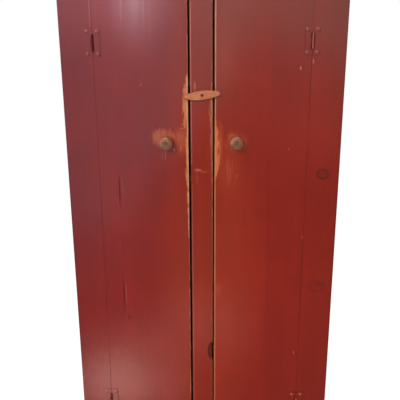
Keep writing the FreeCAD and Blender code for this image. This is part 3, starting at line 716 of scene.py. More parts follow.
@dataclass(frozen=True)
class WeatheredTurning:
    """A turned knob's wood, dry, grey-brown and handled.

    Attributes:
        name: the material's name.
        brown: the wood.
        grey: the wood where it is weathered.
        dark: tool rings, checks and the darker middle round the screw.
        paint: old paint and a painted highlight on the upper left of the rim.
        low_rim: reddish colour on the lower right of the rim, away from the light.
        ring_pitch: from one tool ring to the next.
    """

    name: str = "knob_wood"
    brown: Colour = shade(92, 57, 33)
    grey: Colour = shade(106, 78, 50)
    dark: Colour = shade(84, 40, 26)
    paint: Colour = shade(174, 98, 78)
    low_rim: Colour = shade(122, 60, 42)
    ring_pitch: float = 2.3 * MM

    def build(self) -> bpy.types.Material:
        """Lays tool rings, checks and a dark handled middle.

        Returns:
            The material.
        """
        graph = Graph.material(self.name)
        place = graph.place()
        radius = graph.carried("radius")
        patch = graph.noise(place, 95.0, 4.0, 0.6)
        fibre = graph.noise(place, 700.0, 3.0, 0.6, along=0.12)
        uneven = graph.plus(radius, patch, 2.2 * MM)
        rings = graph.math("SINE", graph.times(uneven, 2 * math.pi / self.ring_pitch))
        colour = graph.mix(graph.smooth(patch, 0.35, 0.65), self.brown, self.grey)
        colour = graph.mix(graph.smooth(rings, -0.2, 1.0, 0.0, 0.18), colour, self.dark)
        colour = graph.mix(graph.smooth(fibre, 0.5, 0.75, 0.0, 0.45), colour, self.dark)
        rim = graph.plus(graph.carried("rim"), patch, 0.6)
        # Reddish colour on the lower right of the rim, away from the light, then old paint and a
        # painted highlight on its upper left.
        colour = graph.mix(graph.smooth(rim, 0.40, -0.30, 0.0, 0.8), colour, self.low_rim)
        colour = graph.mix(graph.smooth(rim, 0.45, 1.15, 0.0, 0.8), colour, self.paint)
        colour = graph.mix(graph.smooth(radius, 6.5 * MM, 5 * MM, 0.0, 0.3), colour, self.dark)
        height = graph.plus(fibre, rings, 0.15)
        roughness = graph.smooth(patch, 0.3, 0.7, 0.42, 0.62)
        return graph.surface(colour, roughness, graph.bump(height, 0.5, 0.4 * MM), 0.24)


@dataclass(frozen=True)
class ButtonWood:
    """The turn button's bare orange-tan wood, polished by fingers.

    Attributes:
        name: the material's name.
        light: the wood.
        warm: its late wood, and the colour it turns towards its right end.
        dark: its pores and the dirt round its screw.
        traces: old paint left in it.
        ring_pitch: one year's growth.
    """

    name: str = "button_wood"
    light: Colour = shade(172, 102, 58)
    warm: Colour = shade(150, 80, 42)
    dark: Colour = shade(100, 44, 22)
    traces: Colour = shade(178, 84, 58)
    ring_pitch: float = 3.2 * MM

    def build(self) -> bpy.types.Material:
        """Lays the grain along the button, old paint in its pores and dirt round its screw.

        Returns:
            The material.
        """
        graph = Graph.material(self.name)
        grain = graph.carried("grain", is_vector=True)
        late = graph.growth_rings(grain, self.ring_pitch)
        fibre = graph.noise(grain, 800.0, 4.0, 0.6, along=0.05)
        patch = graph.noise(grain, 60.0, 3.0)
        colour = graph.mix(graph.smooth(patch, 0.3, 0.7), self.light, self.warm)
        colour = graph.mix(graph.times(late, 0.55), colour, self.warm)
        colour = graph.mix(graph.smooth(fibre, 0.5, 0.78, 0.0, 0.7), colour, self.dark)
        colour = graph.mix(graph.smooth(patch, 0.56, 0.70, 0.0, 0.5), colour, self.traces)
        by_screw = graph.smooth(graph.carried("radius"), 7 * MM, 4 * MM, 0.0, 0.7)
        colour = graph.mix(by_screw, colour, self.dark)
        # Warmer and darker towards the button's right end.
        handled = graph.smooth(graph.parts(grain)[2], -20 * MM, 50 * MM, 0.0, 0.55)
        colour = graph.mix(handled, colour, self.warm)
        height = graph.plus(fibre, late, 0.5)
        roughness = graph.smooth(fibre, 0.2, 0.8, 0.36, 0.6)
        return graph.surface(colour, roughness, graph.bump(height, 0.45, 0.35 * MM), 0.22)


@dataclass(frozen=True)
class DarkMetal:
    """Old iron or steel: dark, pitted, with rust in it.

    Attributes:
        name: the material's name.
        steel: the bare metal.
        rust: its rust.
        polish: roughness of the smoothest metal; the rust is rougher by 0.3.
        gloss: the specular level.
        metal: the metallic share.
        pit: the bottom of its pits.
    """

    name: str
    steel: Colour
    rust: Colour
    polish: float
    gloss: float = 0.4
    metal: float = 0.25
    pit: Colour = shade(22, 15, 12)

    def build(self) -> bpy.types.Material:
        """Lays steel, rust and pits.

        Returns:
            The material.
        """
        graph = Graph.material(self.name)
        place = graph.place()
        patch = graph.noise(place, 300.0, 4.0, 0.6)
        pits = graph.noise(place, 1500.0, 3.0)
        colour = graph.mix(graph.smooth(patch, 0.42, 0.62), self.steel, self.rust)
        colour = graph.mix(graph.smooth(pits, 0.6, 0.75, 0.0, 0.6), colour, self.pit)
        roughness = graph.smooth(patch, 0.35, 0.65, self.polish, self.polish + 0.3)
        return graph.surface(colour, roughness, graph.bump(pits, 0.5, 0.2 * MM), self.gloss,
                             self.metal)


# ------------------------------------------------------------------ shaping


@dataclass
class Grain:
    """Which way a board's wood runs, and where its tree's middle was.

    Attributes:
        along: the axis that the fibres follow.
        across: the axis of the board's width.
        pith: the tree's middle, as a point of the frame.
    """

    along: Axis
    across: Axis
    pith: Vector

    @classmethod
    def sawn(cls, low: Vector, high: Vector, rng: random.Random) -> "Grain":
        """The grain of a board that fills a box: fibres along its longest side.

        Args:
            low: lowest corner.
            high: highest corner.
            rng: where the board came from in the tree.

        Returns:
            The board's grain.
        """
        size = high - low
        through, across, along = sorted(Axis, key=lambda axis: size[axis.value])
        pith = (low + high) / 2
        pith[across.value] += rng.uniform(-0.5, 0.5) * size[across.value]
        pith[through.value] += rng.choice((-1, 1)) * rng.uniform(0.05, 0.13)
        pith[along.value] -= rng.uniform(5, 60)
        return cls(along, across, pith)

    def read(self, point: Vector) -> tuple[float, float, float]:
        """(across, through, along) of a point, from the pith."""
        away = point - self.pith
        through = 3 - self.along.value - self.across.value
        return away[self.across.value], away[through], away[self.along.value]


def box_arris(point: Vector, low: Vector, high: Vector) -> float:
    """How far a point on a box's surface is from the box's nearest edge."""
    depths = sorted(min(point[i] - low[i], high[i] - point[i]) for i in range(3))
    return max(depths[1], 0.0)


class Shape:
    """A piece being shaped in a bmesh."""

    def __init__(self) -> None:
        """Starts with nothing."""
        self.bm = bmesh.new()

    @classmethod
    def block(cls, low: Vector, high: Vector) -> "Shape":
        """A block between two corners."""
        made = cls()
        matrix = Matrix.Translation((low + high) / 2) @ Matrix.Diagonal((*(high - low), 1.0))
        bmesh.ops.create_cube(made.bm, size=1.0, matrix=matrix)
        return made

    @classmethod
    def copy_of(cls, node: str) -> "Shape":
        """A merged copy of a CAD node, its flat faces joined up."""
        made = cls()
        made.bm.from_mesh(frame["nodes"][node].data)
        bmesh.ops.remove_doubles(made.bm, verts=made.bm.verts, dist=0.01 * MM)
        bmesh.ops.dissolve_limit(made.bm, angle_limit=math.radians(1), verts=made.bm.verts,
                                 edges=made.bm.edges)
        return made

    @classmethod
    def turned(cls, points: Iterable[Vector], middle: Vector, steps: int) -> "Shape":
        """A profile spun about a line along Y.

        Args:
            points: the profile.
            middle: a point of that line.
            steps: faces round it.

        Returns:
            The shape, open where its profile doesn't reach the line.
        """
        made = cls()
        spine = [made.bm.verts.new(point) for point in points]
        edges = [made.bm.edges.new(pair) for pair in zip(spine, spine[1:])]
        bmesh.ops.spin(made.bm, geom=[*spine, *edges], cent=middle, axis=(0, 1, 0),
                       angle=2 * math.pi, steps=steps, use_merge=True)
        bmesh.ops.remove_doubles(made.bm, verts=made.bm.verts, dist=0.01 * MM)
        return made

    def close(self) -> "Shape":
        """Fills the holes that are left and turns every face outwards."""
        rims = [edge for edge in self.bm.edges if edge.is_boundary]
        bmesh.ops.holes_fill(self.bm, edges=rims, sides=0)
        bmesh.ops.recalc_face_normals(self.bm, faces=self.bm.faces)
        return self

    def round_edges(self, width: float, segments: int = 3, least_angle: float = 60.0,
                    chosen: Callable[[bmesh.types.BMEdge], bool] = lambda edge: True) -> "Shape":
        """Rounds the edges that turn by more than an angle.

        Args:
            width: of the rounding.
            segments: faces across it.
            least_angle: degrees.
            chosen: picks among those edges.

        Returns:
            The same shape.
        """
        sharp = [edge for edge in self.bm.edges
                 if edge.is_manifold and edge.calc_face_angle(0.0) > math.radians(least_angle)
                 and chosen(edge)]
        bmesh.ops.bevel(self.bm, geom=sharp, offset=width, segments=segments, profile=0.5,
                        affect="EDGES", material=-1, clamp_overlap=True)
        return self

    def cut_across(self, axis: Axis, places: Iterable[float]) -> "Shape":
        """Adds a loop of edges at each place along an axis."""
        normal = Vector()
        normal[axis.value] = 1.0
        for place in places:
            bmesh.ops.bisect_plane(self.bm, geom=[*self.bm.verts, *self.bm.edges, *self.bm.faces],
                                   plane_co=normal * place, plane_no=normal, dist=1e-7)
        return self

    def cut_into(self, axis: Axis, low: Vector, high: Vector, pitch: float) -> "Shape":
        """Adds loops right through a shape whose faces aren't all four-sided.

        Args:
            axis: they follow each other along this axis.
            low: lowest corner of the shape's box.
            high: highest corner of it.
            pitch: about how far apart they are; there is at least one.

        Returns:
            The same shape.
        """
        start, end = low[axis.value], high[axis.value]
        steps = max(round((end - start) / pitch), 2)
        return self.cut_across(axis, [start + (end - start) * n / steps for n in range(1, steps)])

    def cut_evenly(self, axis: Axis, pitch: float) -> "Shape":
        """Divides the long edges along an axis into steps of about a pitch."""
        runs: dict[int, list[bmesh.types.BMEdge]] = {}
        for edge in self.bm.edges:
            run = edge.verts[1].co - edge.verts[0].co
            steps = round(run.length / pitch)
            if steps > 1 and abs(run[axis.value]) > 0.999 * run.length:
                runs.setdefault(steps, []).append(edge)
        for steps, edges in runs.items():
            bmesh.ops.subdivide_edges(self.bm, edges=edges, cuts=steps - 1, use_grid_fill=True)
        return self

    def weather(self, depth: float, pitch: float, seed: int, deeper: Optional[Depth] = None,
                calm: Depth = lambda point: 1.0) -> "Shape":
        """Sinks the surface unevenly, so that it is never quite flat and never outside its box.

        Args:
            depth: the deepest.
            pitch: from one hollow to the next.
            seed: which pattern.
            deeper: more depth at a point, if there is any.
            calm: the share of the depth that a point has.

        Returns:
            The same shape.
        """
        self.bm.normal_update()
        start = Vector((13.7, 7.3, 3.1)) * seed
        for vert in self.bm.verts:
            more = deeper(vert.co) if deeper else 0.0
            sunk = depth * clamped(roll(vert.co / pitch + start)) * calm(vert.co)
            vert.co -= vert.normal * (sunk + more)
        return self

    def dress(self, pick: Callable[[bmesh.types.BMFace], int]) -> "Shape":
        """Gives each face the number of its material."""
        self.bm.normal_update()
        for face in self.bm.faces:
            face.material_index = pick(face)
        return self

    def become(self, name: str, *materials: bpy.types.Material,
               flat: Callable[[bmesh.types.BMFace], bool] = lambda face: False) -> Piece:
        """Turns the shape into an object at the origin.

        Args:
            name: the object's name.
            materials: in the order of the faces' numbers.
            flat: picks the faces that shade by themselves.

        Returns:
            The object.
        """
        for face in self.bm.faces:
            face.smooth = not flat(face)
        mesh = bpy.data.meshes.new(name)
        self.bm.to_mesh(mesh)
        self.bm.free()
        for leftover in ("custom_normal", "sharp_edge"):
            if leftover in mesh.attributes:
                mesh.attributes.remove(mesh.attributes[leftover])
        for material in materials:
            mesh.materials.append(material)
        made = bpy.data.objects.new(name, mesh)
        bpy.context.scene.collection.objects.link(made)
        return made


def write(piece: Piece, name: str, values: Sequence[float], is_vector: bool = False) -> None:
    """Writes an attribute on a piece's points for its material to read.

    Args:
        piece: the object.
        name: the attribute's name.
        values: one for each point, or three in a row where each is a vector.
        is_vector: whether it is.
    """
    kind = "FLOAT_VECTOR" if is_vector else "FLOAT"
    made = piece.data.attributes.new(name, kind, "POINT")
    made.data.foreach_set("vector" if is_vector else "value", values)


def carry(piece: Piece, name: str, read: Depth) -> None:
    """Writes an attribute that is read at each point of a piece."""
    write(piece, name, [read(vert.co) for vert in piece.data.vertices])


def lay_grain(piece: Piece, read: Callable[[Vector], tuple[float, float, float]]) -> None:
    """Writes (across, through, along) of each point of a piece, as its wood runs."""
    write(piece, "grain", [part for vert in piece.data.vertices for part in read(vert.co)], True)


def keep_paint(piece: Piece) -> None:
    """Keeps a piece's paint whole: no point of it counts as near an arris."""
    write(piece, "arris", [20 * MM] * len(piece.data.vertices))


def settle(piece: Piece, body: str, slot: str, *nodes: str) -> Piece:
    """Puts a finished piece on its body, in the place of its CAD nodes.

    Args:
        piece: the object.
        body: the CAD body that it rides on.
        slot: the record's material slot; not used.
        nodes: the CAD nodes that it stands for.

    Returns:
        The same object.
    """
    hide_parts(*nodes)
    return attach(piece, body)


Finish = Union[BarnRed, BarePine, WeatheredTurning, ButtonWood, DarkMetal]


class Finishes:
    """Every finish of the cupboard, each built once when it is first asked for."""

    def __init__(self) -> None:
        """Starts with nothing built."""
        self.built: dict[str, bpy.types.Material] = {}

    def of(self, finish: Finish) -> bpy.types.Material:
        """The material of a finish."""
        if finish.name not in self.built:
            self.built[finish.name] = finish.build()
        return self.built[finish.name]


FINISHES = Finishes()
INSIDE_PINE = BarePine("inside_pine", shade(196, 150, 104), shade(148, 98, 60),
                       shade(92, 64, 44))
BACK_PINE = BarePine("back_pine", shade(170, 130, 92), shade(126, 86, 56), shade(76, 58, 44),
                     saw=0.7)


@dataclass
class Board:
    """One board in the place of a CAD node.

    Attributes:
        node: the CAD node.
        body: the body that it rides on.
        slot: the record's material slot.
        outside: finish of the faces that show from outside.
        inside: finish of the others.
        is_inside: picks those others by a face's middle and normal.
        arris: rounding of its edges.
        sharp_sides: X places where it meets its neighbour and has almost no rounding.
        pitch: spacing of its loops along its length.
        uneven: depth of its hollows.
        seed: which tree it came from.
        deeper: more depth at a point.
        sink: how far a point of the face lies straight back.
        from_node: whether it starts from the CAD node's own shape.
        in_front: whether it is part of the front, with painted shade on the walls of its joints.
        grow: how far it swells past its left and right side, towards its neighbours.
        extra_loops: further places for loops.
    """

    node: str
    body: str
    slot: str
    outside: Finish
    inside: Finish
    is_inside: Callable[[Vector, Vector], bool]
    arris: float = 1.6 * MM
    sharp_sides: tuple[float, ...] = ()
    pitch: float = 30 * MM
    uneven: float = 0.35 * MM
    seed: int = 1
    deeper: Optional[Depth] = None
    sink: Optional[Depth] = None
    from_node: bool = False
    in_front: bool = False
    grow: tuple[float, float] = (0.0, 0.0)
    extra_loops: dict[Axis, tuple[float, ...]] = field(default_factory=dict)

    def build(self) -> Piece:
        """Shapes the board, dresses it and puts it in its place.

        Returns:
            The piece.
        """
        low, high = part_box(self.node)
        low.x -= self.grow[0]
        high.x += self.grow[1]
        grain = Grain.sawn(low, high, random.Random(self.seed))
        shape = Shape.copy_of(self.node) if self.from_node else Shape.block(low, high)
        shape.round_edges(self.arris, chosen=lambda edge: not self._is_joint(edge))
        self._add_loops(shape, grain, low, high)
        arrises = [self._arris_at(vert.co, low, high) for vert in shape.bm.verts]
        shape.weather(self.uneven, 60 * MM, self.seed, self.deeper, self._calm_by_joint)
        for vert in shape.bm.verts if self.sink else ():
            vert.co.y += self.sink(vert.co)
        shape.dress(lambda face: int(self.is_inside(face.calc_center_median(), face.normal)))
        piece = shape.become(f"{self.node}_wood", FINISHES.of(self.outside),
                             FINISHES.of(self.inside), flat=self._is_joint)
        lay_grain(piece, grain.read)
        write(piece, "arris", arrises)
        # Where this is 1, the walls of the front's joints take painted shade.
        if self.in_front:
            carry(piece, "seam", lambda point: float(abs(point.x) < HALF_INSIDE
                                                     and point.z > JOINTS_FROM))
        return settle(piece, self.body, self.slot, self.node)

    def _add_loops(self, shape: Shape, grain: Grain, low: Vector, high: Vector) -> None:
        """Adds loops of edges, close together at the board's ends and sides.

        Args:
            shape: the board so far.
            grain: its grain.
            low: its lowest corner.
            high: its highest corner.
        """
        by_end = (3 * MM, 9 * MM)
        by_joint = (0.1 * MM, 0.4 * MM, 0.5 * MM) if self.sink else (0.1 * MM,)
        for axis in (grain.across, grain.along):
            start, end = low[axis.value], high[axis.value]
            shape.cut_across(axis, [*(start + step for step in by_end),
                                    *(end - step for step in by_end)])
        for end, inward in ((low.x, 1), (high.x, -1)):
            if any(abs(end - side) < MM for side in self.sharp_sides):
                shape.cut_across(Axis.X, [end + inward * step for step in by_joint])
        for axis, places in self.extra_loops.items():
            shape.cut_across(axis, places)
        if self.from_node:
            shape.cut_into(grain.along, low, high, 2 * self.pitch)
            shape.cut_into(grain.across, low, high, 2 * self.pitch)
        else:
            shape.cut_evenly(grain.along, self.pitch)
            shape.cut_evenly(grain.across, max(self.pitch, 24 * MM))

    def _arris_at(self, point: Vector, low: Vector, high: Vector) -> float:
        """How far a point is from the nearest edge that hands can reach.

        Args:
            point: the point.
            low: the board's lowest corner.
            high: its highest corner.

        Returns:
            The distance, to no edge at a joint.
        """
        wide_low, wide_high = low.copy(), high.copy()
        for side in self.sharp_sides:
            if abs(side - low.x) < MM:
                wide_low.x -= 1.0
            if abs(side - high.x) < MM:
                wide_high.x += 1.0
        return box_arris(point, wide_low, wide_high)

    def _is_joint(self, part: Union[bmesh.types.BMEdge, bmesh.types.BMFace]) -> bool:
        """Whether an edge or a face lies against the next board."""
        return any(all(abs(vert.co.x - side) < 0.5 * MM for vert in part.verts)
                   for side in self.sharp_sides)

    def _calm_by_joint(self, point: Vector) -> float:
        """0 at the joint with the next board, so that the two stay flush, and 1 away from it."""
        away = [abs(point.x - side) for side in self.sharp_sides]
        share = min([1.0, *(max(gap - 9 * MM, 0.0) / (30 * MM) for gap in away)])
        return share * share * (3 - 2 * share)


# ------------------------------------------------------------------ marks on the face

# Painted shade: the paint's brightness up its height, in metres, at left, middle and right.
BRIGHTEST = 1.2
LEFT_TONES = (
    (0.10, 0.96), (0.27, 0.91), (0.45, 0.88), (0.66, 0.84), (0.87, 0.75), (1.06, 0.70),
    (1.245, 0.67), (1.40, 0.63), (1.53, 0.61), (1.64, 0.64), (1.75, 0.72))
MIDDLE_TONES = (
    (0.10, 1.00), (0.31, 0.99), (0.63, 0.96), (0.86, 0.87), (1.05, 0.84), (1.216, 0.81),
    (1.305, 0.79), (1.377, 0.69), (1.44, 0.645), (1.55, 0.56), (1.64, 0.565), (1.75, 0.60))
RIGHT_TONES = (
    (0.10, 1.00), (0.27, 1.00), (0.45, 1.02), (0.66, 1.00), (0.87, 0.93), (1.06, 0.91),
    (1.245, 0.90), (1.40, 0.79), (1.53, 0.66), (1.64, 0.57), (1.75, 0.66))

# Marks are laid in this order, so those of one kind aren't always together.
# Painted reflection of a lit floor: pale patches low on the left, also laid on the hinges, screws
# and nails there.
FOOT_REFLECTION = marks(CHALKY, (-335, 330, 130, 130, 20, 0.26),
                   (-275, 340, 235, 215, 40, 0.18), ragged=0.25, soft=0.9)
LINE = dict(is_straight=True, ragged=0.5, soft=0.5)
# Dark crack along the joint between the left door's boards, with painted shade in its opened
# pockets.
LEFT_JOINT_SHADE = marks(
    DIRTY, (-286, 1066, 3.4, 38, 0, 0.20), (-286, 865, 1.5, 55, 0, 0.45),
    (-286.3, 685, 3.2, 58, 0, 0.28), ragged=0.4, soft=0.6)
# Painted shade along the gap between the left door and its stile.
LEFT_GAP_SHADE = marks(
    DIRTY, (-351.3, 1680, 2.2, 105, 0, 0.50), (-351.3, 1060, 1.8, 115, 0, 0.28),
    (-351.3, 660, 1.8, 30, 0, 0.30), (-351.5, 330, 2.0, 150, 0, 0.28), **LINE)
# Painted shade along the gap between the right door and its stile.
RIGHT_GAP_SHADE = marks(
    DIRTY, (345.4, 1395, 1.9, 100, 0, 0.45), (345.0, 1160, 1.8, 60, 0, 0.25),
    (345.0, 560, 1.9, 400, 0, 0.38), **LINE)
# Painted shade: the paint is darkened at the lower right of the front.
LOW_RIGHT_SHADE = Mark(DIRTY, 385, 380, 150, 440, 0, 0.18, 0.2, 1.0, deep=60)
LEFT_LATCH_MARKS = (
    *FOOT_REFLECTION,
    *LEFT_JOINT_SHADE,
    # Painted highlight: pale vertical streaks in the sheen at the top of the door.
    *marks(CHALKY, (-258, 1648, 4.0, 55, 1, 0.15, 0.5, 0.8),
           (-216, 1655, 17, 62, 0, 0.11, 0.8, 0.8), (-188, 1644, 4.6, 62, 0, 0.12, 0.5, 0.8),
           (-170, 1620, 5.4, 70, -1, 0.05, 0.6, 0.8)),
    *marks(THIN, (-50, 760, 110, 620, 0, 0.14, 0.2, 1.0), (-72, 1232, 28, 46, 0, 0.50, 0.7, 0.9),
           (-136, 1247, 36, 22, 0, 0.50, 1.2, 0.7)),
    *marks(SCUFFED, (-136, 1247, 36, 22, 0, 0.24, 1.3, 0.7),
           (-156, 1237, 12, 26, 4, 0.35, 1.3, 0.7), (-150, 1224, 8, 16, 0, 0.35, 1.0, 0.7),
           (-84, 1243, 24, 16, 0, 0.25, 1.0, 0.8)),
    *marks(CHALKY, (-128, 1182, 2.2, 17, 2, 0.18, 0.5), (-139, 1180, 2.8, 12, 0, 0.09, 0.5),
           (-99, 1201, 4.0, 5, 0, 0.20, 0.5)),
    *marks(SCUFFED, (-76, 1205, 3.0, 10, 4, 0.5, 0.5), (-277, 1075, 2.0, 34, 0, 0.20, 0.5)),
    *marks(CHALKY, (-279.5, 690, 1.8, 46, 0, 0.14, 0.5)),
    *marks(KNOT, (-271, 598, 4, 8, 0, 0.7, 0.3)),
    *marks(RUBBED, (-163, 1241, 1.8, 12, -6, 0.34, 0.7), (-149, 1246, 1.8, 14, 5, 0.34, 0.7),
           (-131, 1256, 2.0, 9, 0, 0.34, 0.7), (-98, 1246, 1.8, 10, -4, 0.30, 0.7),
           (-69, 1284, 6, 1.8, 0, 0.42, 0.3), (-71, 1270, 6, 1.8, 0, 0.42, 0.3),
           (-203.5, 1411, 2.4, 2.4, 20, 0.38, 0.3)),
    # The first is a darker painted streak in that sheen; the others darken broad patches and a line
    # by the joint.
    *marks(DIRTY, (-246, 1655, 5.0, 48, 0, 0.08, 0.5, 0.7),
           (-122, 1590, 24, 130, 0, 0.09, 0.4, 1.0), (-72, 930, 36, 270, 0, 0.14, 0.2, 1.0),
           (-75, 1410, 28, 90, 0, 0.12, 0.2, 1.0), (-281, 1005, 0.9, 40, 0, 0.35, 0.5)),
)
RIGHT_LATCH_MARKS = (
    LOW_RIGHT_SHADE,
    # Painted highlight along the free edge's arris (pale lines at 38.2 and 37.0), with painted shade
    # at the gap (34.6).
    *marks(CHALKY, (38.2, 1500, 2.4, 250, 0, 0.85, 0.3, 0.4), is_straight=True),
    *marks(DIRTY, (34.6, 1500, 1.8, 250, 0, 0.90, 0.3, 0.4), is_straight=True),
    *marks(THIN, (62, 1490, 42, 130, 0, 0.11, 0.2, 1.0)),
    *marks(THIN, (37.6, 640, 3.2, 500, 0, 0.60, 0.4, 0.4), is_straight=True),
    *marks(CHALKY, (37.0, 640, 3.2, 500, 0, 0.34, 0.4, 0.4), is_straight=True),
    *marks(DIRTY, (218.6, 1020, 1.0, 215, 0, 0.45, 0.3, 0.7)),
    *marks(THIN, (60, 700, 120, 680, 0, 0.16, 0.2, 1.0), (108, 1226, 40, 36, 0, 0.30, 0.6, 0.6)),
    *marks(SCUFFED, (88, 1232, 9, 20, 8, 0.45, 0.7, 0.8), (99, 1246, 16, 7, 0, 0.45, 0.7, 0.8),
           (139, 1222, 2.2, 18, 0, 0.35, 0.7, 0.6)),
    *marks(THIN, (52, 1225, 16, 62, 0, 0.45, 0.9, 0.8), (80, 1130, 46, 80, 0, 0.16, 0.4, 1.0)),
    *marks(CHALKY, (84, 1126, 9, 50, 0, 0.05, 0.5, 0.9), (79, 1145, 1.8, 28, 2, 0.09, 0.6, 0.6),
           (89, 1122, 1.8, 34, -2, 0.09, 0.6, 0.6), (96, 1143, 1.4, 20, 3, 0.12, 0.6, 0.6),
           (112, 1112, 1.8, 7, 2, 0.26, 0.5, 0.6)),
    *marks(THIN, (50, 702, 12, 26, 0, 0.26, 0.5, 0.9)),
)
RIGHT_HINGE_MARKS = (
    *RIGHT_GAP_SHADE,
    LOW_RIGHT_SHADE,
    # Painted shadow beside the edge of the upper hinge's door leaf.
    *marks(DIRTY, (322.0, 1536, 1.6, 44, 0, 0.15, 0.3, 0.8), is_straight=True),
    *marks(CHALKY, (312, 1459, 2.4, 6.5, 0, 0.55, 0.3), (284, 1201, 2.6, 2.2, 0, 0.45, 0.3)),
    *marks(SCUFFED, (342, 896, 2.4, 6, 0, 0.65, 0.3)),
    *marks(CHALKY, (330, 452, 3.0, 8, 0, 0.32, 0.3)),
)
LEFT_HINGE_MARKS = (
    *FOOT_REFLECTION,
    *LEFT_JOINT_SHADE,
    *LEFT_GAP_SHADE,
    # Painted shadow beside the edge of each hinge's door leaf.
    *marks(DIRTY, (-326.6, 1535, 2.0, 46, 0, 0.42, 0.3, 0.7),
           (-326.6, 262, 2.0, 46, 0, 0.42, 0.3, 0.7), is_straight=True),
)
STILE_MARKS = (
    *FOOT_REFLECTION,
    *LEFT_GAP_SHADE,
    *RIGHT_GAP_SHADE,
    LOW_RIGHT_SHADE,
    *marks(CHALKY, (-356.5, 1665, 2.2, 90, 0, 0.16), **LINE),
    *marks(KNOT, (402, 1116, 21, 18, 8, 0.60, 0.3), (402, 712, 30, 21, 8, 0.22, 0.25),
           (397, 1382, 9, 9, 0, 0.15, 0.3)),
    *marks(CHALKY, (352, 1480, 2.6, 8, 0, 0.35, 0.3)),
    *marks(DIRTY, (410, 721, 24, 14, -12, 0.30, 0.25, 0.9),
           (-412, 1180, 34, 78, 0, 0.17, 0.3, 1.0), (-440, 1150, 30, 75, 0, 0.16, 0.5, 1.0),
           (-430, 1131, 11, 5, 20, 0.38, 0.8, 0.6), (-429, 1192, 5, 9, 0, 0.25, 0.8, 0.6)),
)
MULLION_MARKS = (
    *marks(THIN, (-7, 800, 70, 640, 0, 0.12, 0.2, 1.0), (-20, 1132, 13, 4.5, 4, 0.50, 1.0, 0.6)),
    *marks(CHALKY, (-20, 1132, 12, 4.2, 4, 0.20, 1.0, 0.6),
           (2, 1126, 14, 4.0, -3, 0.13, 0.8, 0.7)),
    *marks(THIN, (-22, 1102, 5, 24, 0, 0.20, 0.5, 0.7)),
    *marks(SCUFFED, (-29, 1404, 4, 16, 0, 0.55, 0.8, 0.8)),
    # The first darkens the lost knot's hollow; the others are painted shade along the gaps at the
    # mullion's edges.
    *marks(DIRTY, (26, 461, 14, 38, 0, 0.75, 0.35), (-44.9, 900, 1.7, 1400, 0, 0.9, 0.15, 0.4)),
    *marks(DIRTY, (-44.0, 720, 2.2, 620, 0, 0.95, 0.15, 0.4),
           (30.6, 1520, 2.2, 180, 0, 0.9, 0.15, 0.4), is_straight=True),
    # Painted highlight along the mullion's left arris.
    *marks(CHALKY, (-41.0, 1420, 1.7, 280, 0, 0.42, 0.6, 0.5),
           (-39.6, 600, 1.7, 500, 0, 0.25, 0.6, 0.5), is_straight=True),
)
CARCASS_MARKS = (
    *marks(CHALKY, (0, 1778, 560, 14, 0, 0.20, 1.6, 0.9, 40, 250),
           (457, 1050, 40, 560, 0, 0.13, 0.6, 1.0, 60, 150),
           (-457, 860, 40, 520, 0, 0.13, 0.6, 1.0, -20, 150)),
    *marks(SCUFFED, (-60, 1778, 90, 10, 0, 0.18, 1.8, 0.8, -60, 60)),
    *marks(DIRTY, *((457 * hand.value, z, 40, tall, 0, strength, 0.6, 1.0, 20, 260)
                             for hand in Hand
                             for z, tall, strength in ((0, 150, 0.38), (1740, 120, 0.30)))),
    *marks(KNOT, (457, 1262, 30, 15, 0, 0.45, 1.0, 0.3, 74, 21),
           (457, 602, 30, 19, 0, 0.40, 1.0, 0.3, -52, 26),
           (457, 318, 30, 10, 0, 0.40, 1.0, 0.3, 128, 13),
           (-457, 1398, 30, 13, 0, 0.45, 1.0, 0.3, -70, 18),
           (-457, 880, 30, 20, 0, 0.40, 1.0, 0.3, 96, 25)),
    *marks(SCUFFED, (457, 742, 30, 5, 0, 0.55, 1.2, 0.6, 40, 52),
           (457, 706, 30, 3, 0, 0.50, 1.2, 0.6, 10, 38),
           (457, 170, 30, 46, 0, 0.35, 1.4, 0.8, -140, 34),
           (-457, 548, 30, 4, 0, 0.50, 1.2, 0.6, -30, 46),
           (-457, 150, 30, 40, 0, 0.35, 1.4, 0.8, 150, 30)),
    *marks(RUBBED, (457, 455, 30, 7, 0, 0.60, 1.2, 0.6, 92, 6),
           (457, 1015, 30, 4, 0, 0.55, 1.2, 0.6, -96, 4),
           (-457, 1126, 30, 5, 0, 0.55, 1.2, 0.6, 60, 5)),
)

LEFT_DOOR_EDGE = EdgeWear(-50.1, -1, (
    (124, 2.2), (860, 2.2), (950, 5), (1060, 8), (1120, 11), (1166, 12), (1210, 10),
    (1250, 10), (1285, 15), (1320, 20), (1390, 20), (1425, 11), (1455, 2.5), (1673, 1.8)))
RIGHT_DOOR_EDGE = EdgeWear(35.0, 1, (
    (124, 3.0), (900, 3.1), (1010, 4.2), (1095, 5.2), (1110, 8), (1130, 15), (1152, 18),
    (1215, 19), (1250, 14), (1285, 8), (1320, 3.6), (1673, 3.2)))
MULLION_LEFT_EDGE = EdgeWear(-44.5, 1, ((121, 2.4), (1676, 2.6)), 0.4)
MULLION_RIGHT_EDGE = EdgeWear(30.5, -1, (
    (121, 2.0), (1060, 4), (1180, 8), (1270, 12), (1330, 13), (1395, 12), (1430, 4),
    (1676, 2.0)), 0.52)

CARCASS_PAINT = BarnRed("carcass_paint", marks=CARCASS_MARKS, rub=0.42, smoke=0.4)
FRAME_PAINT = BarnRed("frame_paint", marks=STILE_MARKS, rub=0.04)
MULLION_PAINT = BarnRed("mullion_paint", marks=MULLION_MARKS, rub=0.12,
                        edges=(MULLION_LEFT_EDGE, MULLION_RIGHT_EDGE),
                        stain=shade(136, 62, 40), orange=shade(162, 104, 70))


# ------------------------------------------------------------------ carcass


def faces_in(point: Vector, normal: Vector) -> bool:
    """Whether a face of a carcass board looks into the cupboard."""
    return (abs(point.x) < HALF_INSIDE and point.y > FRAME_BACK
            and INSIDE_LOW < point.z < INSIDE_HIGH)


